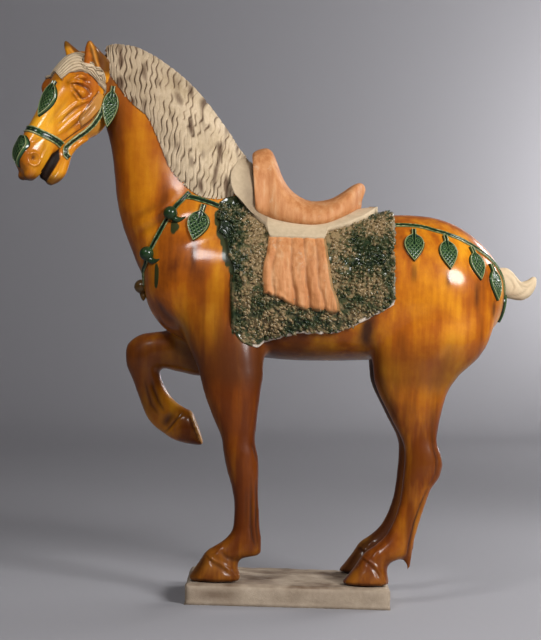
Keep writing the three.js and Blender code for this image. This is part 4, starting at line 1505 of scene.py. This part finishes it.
mane = sheet(columns=450, rows=200, place=mane_place)
face_outwards(mane, NECK_AXIS)
brown = mane.verts.layers.float.new("brown")
for vert, (u, v) in zip(mane.verts, mane_shares):
    kx, kz, ex, ez = mane_value(u)
    length = math.hypot(kx - ex, kz - ez) * 1.15
    down = (1 - math.sin(math.pi * v)) * length
    side = LEFT if v < 0.5 else RIGHT
    phase = 1.5 * noise.noise(Vector((u * 6, down * 0.012, side * 3)))
    wave = 1.5 * math.sin(2 * math.pi * (down / MANE_WAVE + phase + 0.05 * STRANDS * u))
    wave += 2.6 * noise.noise(Vector((u * 11, down * 0.022, side)))
    place = u * STRANDS + wave / STRAND_PITCH
    strand = math.floor(place)
    off = abs(place - strand - 0.5) * STRAND_PITCH
    along_cut = noise.noise(Vector((strand * 3.7, down * 0.05, side * 5)))
    cut = min(1, max(0.06, 0.62 + 3.0 * along_cut))
    width = 0.50 + 0.32 * cut
    middle = math.exp(-((off / width) ** 2))
    depth = 2.2 * cut * middle + 0.45 * math.exp(-((off / 1.6) ** 2))
    fine = 0.45 * noise.noise(Vector((place * 5, down * 0.05, 2)))
    vert.co -= vert.normal * (depth + fine) * MM
    dirt = 1.2 * clamped((-kx - 130) / 90)
    dirt += max(0, noise.noise(Vector((ex, down, side)) * 0.035))
    spots = max(0, noise.noise(Vector((ex * 0.10, down * 0.04, side * 4))) - 0.14)
    vert[brown] = min(1, 0.82 * cut * middle + 0.30 * dirt + 1.9 * spots)
close_below(mane, 7)
mane_clay = clay_finish("mane_clay", (0.64, 0.50, 0.34), (0.36, 0.26, 0.14))
piece("mane", mane, mane_clay, slot="bare_clay")


# The forelock is parted over the forehead and combed to both sides, over the brows and down
# behind the eyes. It is worked like the mane, with fewer and deeper cuts.
FORELOCK_LOW = ((-329, 677), (-318, 686.5), (-306, 688.5), (-293, 684), (-281, 673.5), (-270, 664))
FORELOCK_HIGH = (
    (-327, 0, 688), (-319, 0, 702), (-305, 3, 713), (-294, 14, 711), (-279, 25, 697),
    (-268, 28, 669),
)
FORELOCK_STRANDS = 7
FORELOCK_LIFT = 3.6
FORELOCK_CUT = 2.5
FORELOCK_CUT_WIDTH = 0.15
HEAD_AXIS = 640
CLEAR_OF_HEAD = 0.3


def forelock_place(side):
    low_value = eased(FORELOCK_LOW)
    high_value = eased(FORELOCK_HIGH)
    lows = {}

    def place(u, v):
        x, z = low_value(u)
        key = round(u, 5)
        if key not in lows:
            lows[key] = seen_at(head_skin, x, z, side, CLEAR_OF_HEAD)[0]
        hx, hy, hz = high_value(u)
        high = Vector((hx, side * hy, hz)) * MM
        guess = lows[key].lerp(high, v)
        spot, out = head_skin.find_nearest(guess)[:2]
        wave = 0.20 * math.sin(2 * math.pi * (u * 1.9 + 0.2 * v))
        wave += 0.30 * noise.noise(Vector((u * 4, v * 3, side)))
        strand = v * FORELOCK_STRANDS + wave
        off = abs(strand - math.floor(strand) - 0.5)
        cut = math.exp(-(((0.5 - off) / FORELOCK_CUT_WIDTH) ** 2))
        groove = FORELOCK_CUT * cut * min(1, 14 * min(v, 1 - v))
        edge = min(1, 7 * min(v, 1 - v) + 0.3, 9 * (1 - u) + 0.3)
        return spot + out * (FORELOCK_LIFT * edge - groove + 0.3) * MM

    return place


forelock = on_both_sides(
    columns=110, rows=56, place_on=forelock_place, axis_z=HEAD_AXIS, depth=5
)
brown = forelock.verts.layers.float.new("brown")
for vert in forelock.verts:
    distance = head_skin.find_nearest(vert.co)[3]
    vert[brown] = clamped((2.9 - distance / MM) / 1.3) * 0.85
bmesh.ops.transform(forelock, matrix=TURNED, verts=forelock.verts)
piece("forelock", forelock, mane_clay, slot="bare_clay")


# The harness is strips and stamped leaves of clay in green glaze, which runs off the raised
# edges and leaves them pale. Straps are rolled with a bead along both edges.
STRAP_PROFILE = (
    (-0.50, -2.5), (-0.50, 1.0), (-0.44, 2.1), (-0.33, 2.1), (-0.22, 1.0), (-0.1, 0.9), (0, 1.3),
    (0.1, 0.9), (0.22, 1.0), (0.33, 2.1), (0.44, 2.1), (0.50, 1.0), (0.50, -2.5),
)
STRAP_BEADS = (2, 3, 9, 10)
STRAP_EDGES = (1, 11)
STRAP_MIDDLE = 6
STRAP_STEP = 1.5
LEAF_RISE = 3.4
LEAF_REACH = 0.04
LEAF_GRAIN = 0.75


def flowing(points, step=STRAP_STEP):
    """Points a step apart along a smooth curve through drawn ones."""
    value = eased(points)
    length = sum(math.dist(a, b) for a, b in zip(points, points[1:]))
    count = round(length / step)
    return [value(k / count) for k in range(count + 1)]


def beside(tree, x, z, side):
    """The place on a skin that the side view shows at x and z, in millimetres."""
    return seen_at(tree, x, z, side)[0] / MM


def strap(made, tree, guides, width, marks=3.0, worn=0.58):
    """A beaded strap laid on a skin along guide points, with small marks down its middle."""
    pale = made.verts.layers.float["pale"]
    spots = []
    for guide in flowing(guides):
        spots.append(tree.find_nearest(Vector(guide) * MM)[:2])
    rings = []
    for number, (spot, _) in enumerate(spots):
        near = spots[max(number - 3, 0) : number + 4]
        out = sum((normal for _, normal in near), Vector()).normalized()
        ahead = near[-1][0] - near[0][0]
        across = ahead.cross(out).normalized()
        rings.append([spot + across * (w * width * MM) + out * (h * MM) for w, h in STRAP_PROFILE])
    for number, vert in enumerate(skinned(made, rings)):
        step, k = divmod(number, len(STRAP_PROFILE))
        if k in STRAP_BEADS:
            vert[pale] = worn + 0.5 * noise.noise(vert.co * 300)
        if k in STRAP_EDGES:
            vert[pale] = worn + 0.12
        if k == STRAP_MIDDLE:
            vert[pale] = max(0, math.sin(2 * math.pi * step * STRAP_STEP / marks)) * 0.8


def leaf_half_width(share, half):
    """Half the width of a leaf at a share of the way from its shoulder to its tip."""
    if not 0 <= share <= 1:
        return 0
    return half * math.sin(math.pi * share**0.72) ** 0.85


def leaf_pattern(a, b, length, half):
    """Raised scrolls below the stem and a net of lozenges below them, from 0 to 1."""
    stem = math.exp(-(((abs(a) - 1.9) / 0.55) ** 2)) if b < 0.22 * length else 0
    scroll = 0
    for radius, down in ((0.20 * half + 1.6, 0.27), (0.10 * half + 0.3, 0.27)):
        reach = math.hypot(abs(a) - 0.42 * half, b - down * length)
        scroll = max(scroll, math.exp(-(((reach - radius) / 0.6) ** 2)))
    net = 0
    if b > 0.36 * length:
        for way in (1, -1):
            cell = 0.40 * half + 0.9
            lozenge = (b + way * 1.15 * a) / cell
            off = abs(lozenge - round(lozenge)) * cell / 1.5
            net = max(net, math.exp(-((off / 0.62) ** 2)))
    return max(stem, scroll, net)


def leaf(made, tree, centre, out, up, length, width, stem):
    """A stamped leaf laid over a skin, or flat where there is none, with its tip away from up."""
    out = Vector(out).normalized()
    across = Vector(up).cross(out).normalized()
    down = across.cross(out).normalized()
    if down.dot(Vector(up)) > 0:
        down.negate()
    half = width / 2
    span = length + stem
    columns = round(width / LEAF_GRAIN)
    rows = round(span / LEAF_GRAIN)
    plate = bmesh.new()
    pale = plate.verts.layers.float.new("pale")
    bmesh.ops.create_grid(plate, x_segments=columns, y_segments=rows, size=0.5)
    for vert in plate.verts:
        share = vert.co.x * 2
        b = (0.5 - vert.co.y) * span - stem
        outline = max(leaf_half_width(b / length, half), 0.6)
        if b < 0.3 * length:
            outline = max(outline, min(3.4, 3.4 * (length * 0.3 - b) / 6))
        a = share * outline
        edge = outline - abs(a)
        rim = math.exp(-(((edge - 1.3) / 0.8) ** 2))
        drawn = leaf_pattern(a, b, length, half) if edge > 1.6 else 0
        drop = min(1, edge / 0.8 + 0.3)
        height = LEAF_RISE * drop + 0.8 * rim + 0.5 * drawn - 0.9 * clamped(edge - 1.6)
        spot = Vector(centre) * MM + (across * a + down * (b - length / 2)) * MM
        if tree:
            distance = tree.ray_cast(spot + out * LEAF_REACH, -out, 2 * LEAF_REACH)[3]
            if distance is not None:
                spot += out * (LEAF_REACH - distance)
        vert.co = spot + out * height * MM
        vert[pale] = max(0.9 * rim, 0.64 * drawn)
    plate.normal_update()
    facing = sum((face.normal for face in plate.faces), Vector())
    if facing.dot(out) < 0:
        bmesh.ops.reverse_faces(plate, faces=plate.faces)
    close_below(plate, LEAF_RISE + 2.5, out)
    join_in(made, plate)


def harness_mesh():
    made = bmesh.new()
    made.verts.layers.float.new("pale")
    return made


def green_glaze(name):
    material, places, shader = finish_named(name, roughness=0.35, coat=0.6, coat_roughness=0.12)
    pools = places.clouds(60, detail=4, roughness=0.65)
    colour = pools.ramp(
        (0.38, (0.002, 0.007, 0.003)),
        (0.55, (0.004, 0.018, 0.006)),
        (0.75, (0.012, 0.050, 0.012)),
    )
    raised = places.painted("pale")
    colour = colour.tinted((0.060, 0.125, 0.040), raised.between(0.05, 0.45) * 0.75)
    colour = colour.tinted((0.44, 0.42, 0.20), raised.between(0.45, 0.95) * 0.85)
    # The amber layer is a painted reflection of the amber body, on the bell at the chest.
    colour = colour.tinted((0.30, 0.10, 0.02), places.painted("amber"))
    grain = places.clouds(160, detail=2).bumps(0.0002)
    lay_on(shader, Base_Color=colour, Normal=grain)
    return material


harness_glaze = green_glaze("harness_glaze")

# The breast strap runs from the rug up to the mane and down round the chest over the bells.
SHOULDER_STRAP = ((-96, 515), (-112, 521.5), (-126, 525.5), (-138, 528.5), (-146, 529))
BREAST_STRAP = (
    (-141, 535), (-147, 528), (-156, 519), (-165, 507), (-172, 495), (-179, 482), (-187, 466),
    (-193, 454), (-197, 440),
)
# Each crupper leaf: x, z, width, length, and how far its tip leans back.
CRUPPER_LEAVES = (
    (154, 470, 27, 41, 0),
    (199, 461.5, 25.5, 42, 0.03),
    (238, 448, 24, 39, 0.06),
    (264, 424, 24, 41, 0.1),
)
CRUPPER = (
    (122, 498.5), (137, 499.3), (154, 499), (168, 497), (183, 493), (198, 489), (212, 484.5),
    (226, 478), (240, 470), (251, 463), (259, 457), (266, 450), (272, 441), (277, 430),
)
breast = harness_mesh()
for side in (LEFT, RIGHT):
    strap(breast, body_tree, [beside(body_tree, x, z, side) for x, z in SHOULDER_STRAP], 6.5)
left_run = [beside(body_tree, x, z, LEFT) for x, z in BREAST_STRAP]
right_run = [beside(body_tree, x, z, RIGHT) for x, z in BREAST_STRAP]
front = [Vector((-215, y, 409 + 0.024 * y * y)) for y in (-26, -17, -8, 0, 8, 17, 26)]
strap(breast, body_tree, left_run + front + right_run[::-1], 6.2)
for side in (LEFT, RIGHT):
    place = beside(body_tree, -129, 491, side)
    leaf(breast, body_tree, place, (-0.25, side, 0.1), (0.22, 0, 1), length=41, width=28, stem=9)
piece("breast_strap", breast, harness_glaze, slot="green_glaze")

crupper = harness_mesh()
for side in (LEFT, RIGHT):
    run = [beside(body_tree, x, z, side) for x, z in CRUPPER]
    run += [Vector((281, side * 16, 419)), Vector((285, side * 7, 411))]
    strap(crupper, body_tree, run, 6.2)
    for x, z, width, length, lean in CRUPPER_LEAVES:
        spot, out = body_tree.find_nearest(beside(body_tree, x, z, side) * MM)[:2]
        leaf(crupper, body_tree, spot / MM, out, (-lean, 0, 1), length=length, width=width, stem=9)
leaf(crupper, body_tree, (281, 0, 396), (1, 0, -0.15), (0, 0, 1), length=42, width=26, stem=9)
piece("crupper", crupper, harness_glaze, slot="green_glaze")

# Bells are balls of clay with a lip that curls up behind: x, z and radius of those on each
# side. A lip's rings are how far back, how far up, and their radius.
BELL_RADIUS = 9.3
BELLS = ((-165, 507, BELL_RADIUS), (-193, 454, 9.6))
BELL_HORN = ((0, 0, 5.4), (5.5, -5.5, 5.2), (11, -7.5, 4.0), (16, -5.8, 2.6), (20.5, -2.5, 0.9))


def bell(made, centre, out, size, back, amber=0):
    """A bell seated on the strap, whose lip points back."""
    out = out.normalized()
    back = (back - out * back.dot(out)).normalized()
    rise = out.cross(back)
    if rise.z < 0:
        rise.negate()
    middle = centre + out * 0.45 * size * MM
    reflected_amber = made.verts.layers.float["amber"]
    matrix = Matrix.Translation(middle) @ Matrix.Scale(size * MM, 4)
    verts = bmesh.ops.create_uvsphere(
        made, u_segments=32, v_segments=20, radius=1, matrix=matrix
    )["verts"]
    rings = []
    grow = size / BELL_RADIUS
    for b, c, radius in flowing(BELL_HORN, 1.0):
        here = centre + (back * b + rise * c + out * 0.30 * BELL_RADIUS) * grow * MM
        ring = []
        for k in range(16):
            angle = 2 * math.pi * k / 16
            away = rise * math.cos(angle) + out * math.sin(angle)
            ring.append(here + away * radius * grow * MM)
        rings.append(ring)
    verts += skinned(made, rings)
    raised = made.verts.layers.float["pale"]
    for vert in verts:
        vert[reflected_amber] = amber
        vert[raised] = 0.17


bells = harness_mesh()
bells.verts.layers.float.new("amber")
for side in (LEFT, RIGHT):
    for x, z, size in BELLS:
        spot = beside(body_tree, x, z, side) * MM
        out = body_tree.find_nearest(spot)[1]
        bell(bells, spot, out, size, Vector((1, 0, -0.1)))
# The bell at the front of the chest is tinted amber all over: a painted reflection of the amber
# chest.
spot, out = body_tree.find_nearest(Vector((-215, -2, 409)) * MM)[:2]
bell(bells, spot, out, BELL_RADIUS, Vector((0.5, -0.6, -1)), amber=0.3)
bmesh.ops.recalc_face_normals(bells, faces=bells.faces)
piece("bells", bells, harness_glaze, slot="green_glaze")

# The bridle is a noseband, a strap down each cheek, and leaves on brow, nose and cheeks.
CHEEK_STRAP = (
    (-262, 669), (-269, 652), (-276.5, 636), (-286, 621), (-298, 609), (-310, 599), (-318, 589),
    (-318, 581), (-314, 576),
)
NOSEBAND = ((-353, 604.5), (-344, 601), (-334, 597), (-325, 592))
bridle = harness_mesh()
for side in (LEFT, RIGHT):
    down_cheek = [beside(head_skin, x, z, side) for x, z in CHEEK_STRAP]
    strap(bridle, head_skin, down_cheek, 7.6, 4.5, 0.76)
over_nose = [beside(head_skin, x, z, LEFT) for x, z in NOSEBAND[::-1]]
over_nose += [Vector((-361, -12, 608)), Vector((-368, 0, 611)), Vector((-361, 12, 608))]
over_nose += [beside(head_skin, x, z, RIGHT) for x, z in NOSEBAND]
strap(bridle, head_skin, over_nose, 9.5, 6, 0.76)
for place, out, up, length, width, stem in (
    ((-343, -9, 647), (-0.84, -0.32, 0.44), (0.44, 0, 0.9), 48, 23, 4),
    ((-381, -2.5, 583), (-1, -0.1, 0.25), (0.25, 0, 1), 44, 27, -2),
):
    leaf(bridle, head_skin, place, out, up, length=length, width=width, stem=stem)
bmesh.ops.transform(bridle, matrix=TURNED, verts=bridle.verts)
for side, x, z, tree in ((LEFT, -250, 642, body_tree), (RIGHT, -280, 642, head_tree)):
    near = beside(tree, x, z, side)
    near.y += side * 4.5
    leaf(bridle, None, near, (0.05, side, 0.05), (0.12, 0, 1), length=50, width=22, stem=6)
piece("bridle", bridle, harness_glaze, slot="green_glaze")


# The tail is a solid roll of clay, bent up into a hook and luted on over the crupper. Its
# hair is a few long cuts, and it is left unglazed.
TAIL = (
    (262, 448, 268, 412, 0, 12),
    (281, 449, 283, 409, 0, 14),
    (291, 444, 292, 407, 0, 14),
    (298, 436, 303, 406, 0, 12.5),
    (304, 431, 312, 409, 0, 10.5),
    (311, 433, 319.5, 417, 0, 8.5),
    (318, 437.5, 323.5, 427, 0, 6),
    (322, 438, 324, 434, 0, 2.5),
)
tail = bmesh.new()
limb(tail, TAIL, sides=40, between=8)
bmesh.ops.recalc_face_normals(tail, faces=tail.faces)
brown = tail.verts.layers.float.new("brown")
for line in (
    [(280, 440), (288, 434), (293, 424), (290, 415)],
    [(284, 445), (294, 438), (300, 428), (306, 420)],
    [(286, 412), (296, 412), (305, 416), (312, 424)],
    [(296, 434), (303, 426), (311, 424), (318, 430)],
):
    work(tail, line, 1.3, -0.9, stain=0.35, dye=brown)
tail_clay = clay_finish("tail_clay", (0.72, 0.56, 0.36), (0.50, 0.38, 0.24))
piece("tail", tail, tail_clay, slot="bare_clay")


# The slab is a thin tile of coarse clay, cut by hand and fired without glaze, with rubbed
# edges, a brown patch on the front, and brown mottling heavier over its top than down its sides.
# The hooves rest on it.
SLAB_GRAIN = 4 * MM
RUBBED = 5 * MM
low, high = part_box("plinth")
middle = (low + high) / 2
slab_size = high - low
plinth = bmesh.new()
cube = bmesh.ops.create_cube(plinth, size=1)["verts"]
bmesh.ops.scale(plinth, vec=slab_size, verts=cube)
bmesh.ops.translate(plinth, vec=middle, verts=cube)
for axis in range(3):
    for number in range(1, round(slab_size[axis] / SLAB_GRAIN)):
        where = middle.copy()
        where[axis] = low[axis] + number * SLAB_GRAIN
        normal = Vector((0, 0, 0))
        normal[axis] = 1
        geometry = plinth.verts[:] + plinth.edges[:] + plinth.faces[:]
        bmesh.ops.bisect_plane(plinth, geom=geometry, plane_co=where, plane_no=normal)
brown = plinth.verts.layers.float.new("brown")
for vert in plinth.verts:
    inner = [slab_size[k] / 2 - abs(vert.co[k] - middle[k]) for k in range(3)]
    rub = 2.2 * max(0, 1 - sorted(inner)[1] / RUBBED) + 0.5
    rub += 0.9 * noise.noise(vert.co * 60) + 0.6 * noise.noise(vert.co * 160)
    if vert.co.z > low.z + 1 * MM:
        toward = middle - vert.co
        for k in range(3):
            if inner[k] < 0.5 * MM:
                vert.co[k] += math.copysign(min(max(rub, 0), 3) * MM, toward[k])
    mottling = 0.5 + 1.1 * noise.noise(vert.co * 28) + 0.5 * noise.noise(vert.co * 90)
    share = 0.75 if inner[2] < 1 * MM and vert.co.z > middle.z else 0.22
    x, y, z = vert.co / MM
    patch = blot(x, z, -92, 14, 22, 6) if y < -90 else 0
    vert[brown] = min(1, max(0, mottling * share + 0.6 * patch))
plinth_clay = clay_finish("plinth_clay", (0.42, 0.335, 0.25), (0.24, 0.18, 0.12))
piece("plinth_slab", plinth, plinth_clay, "plinth", slot="bare_clay")


# The camera stands level with the barrel on the horse's left, rolled a little, at the
# distance that the slab's perspective gives.
CAMERA_PLACE = (-0.0304, -2.7, 0.3704)
CAMERA_ROLL = 1.6
FOCAL_PIXELS = 2018
PICTURE_HEIGHT = 640
FILM_WIDTH = 36
camera_data = bpy.data.cameras.new("camera")
camera = bpy.data.objects.new("camera", camera_data)
bpy.context.scene.collection.objects.link(camera)
camera_data.lens = FOCAL_PIXELS / PICTURE_HEIGHT * FILM_WIDTH
camera_data.clip_end = 30
camera.matrix_world = (
    Matrix.Translation(CAMERA_PLACE)
    @ Matrix.Rotation(math.radians(90), 4, "X")
    @ Matrix.Rotation(math.radians(CAMERA_ROLL), 4, "Z")
)
bpy.context.scene.camera = camera


# The room is a plain pale floor that curves up into a wall all round. Two soft round lamps
# light the horse, and three more the wall and the floor.
SWEEP_START = 4.4
SWEEP_RADIUS = 3.0
SWEEP_STEPS = 12
WALL_TOP = 7.0
sweep = bmesh.new()
profile = [(0.001, 0), (SWEEP_START, 0)]
for k in range(1, SWEEP_STEPS + 1):
    turn = math.pi / 2 * k / SWEEP_STEPS
    reach = SWEEP_START + SWEEP_RADIUS * math.sin(turn)
    profile.append((reach, SWEEP_RADIUS * (1 - math.cos(turn))))
profile.append((SWEEP_START + SWEEP_RADIUS, WALL_TOP))
points = [sweep.verts.new((x, 0, z)) for x, z in profile]
edges = [sweep.edges.new(pair) for pair in zip(points, points[1:])]
bmesh.ops.spin(
    sweep, geom=points + edges, cent=(0, 0, 0), axis=(0, 0, 1), steps=96, angle=2 * math.pi,
    use_merge=True,
)
bmesh.ops.remove_doubles(sweep, verts=sweep.verts, dist=0.002)
bmesh.ops.recalc_face_normals(sweep, faces=sweep.faces)
for face in sweep.faces:
    face.smooth = True
sweep_mesh = bpy.data.meshes.new("sweep")
sweep.to_mesh(sweep_mesh)
room = bpy.data.objects.new("room", sweep_mesh)
paper, _, paper_shader = finish_named("paper", roughness=0.9)
paper_shader.inputs["Base Color"].default_value = (0.30, 0.293, 0.31, 1)
sweep_mesh.materials.append(paper)
bpy.context.scene.collection.objects.link(room)


def soft_lamp(name, spot, target, size, power):
    light = bpy.data.lights.new(name, "AREA")
    light.shape = "DISK"
    light.size = size
    light.energy = power
    holder = bpy.data.objects.new(name, light)
    bpy.context.scene.collection.objects.link(holder)
    facing = (Vector(spot) - Vector(target)).to_track_quat("Z", "Y").to_matrix().to_4x4()
    holder.matrix_world = Matrix.Translation(spot) @ facing
    holder.visible_camera = False


soft_lamp("left_light", (-0.62, -1.62, 1.62), (0, 0, 0.4), 0.47, 16)
soft_lamp("right_light", (1.28, -1.62, 1.20), (0, 0, 0.4), 0.672, 48)
soft_lamp("wall_light", (2.8, 5.7, 1.2), (1.9, 6.9, 0.9), 1.344, 205)
soft_lamp("far_floor_light", (2.5, 3.1, 2.0), (2.1, 3.0, 0), 1.344, 62)
soft_lamp("near_floor_light", (1.15, 0.6, 0.9), (0.8, 0.4, 0), 0.56, 11)

world = bpy.data.worlds.new("studio")
world.use_nodes = True
glow = world.node_tree.nodes["Background"]
glow.inputs["Color"].default_value = (0.84, 0.83, 0.88, 1)
glow.inputs["Strength"].default_value = 0.11
bpy.context.scene.world = world
bpy.context.scene.view_settings.view_transform = "Standard"
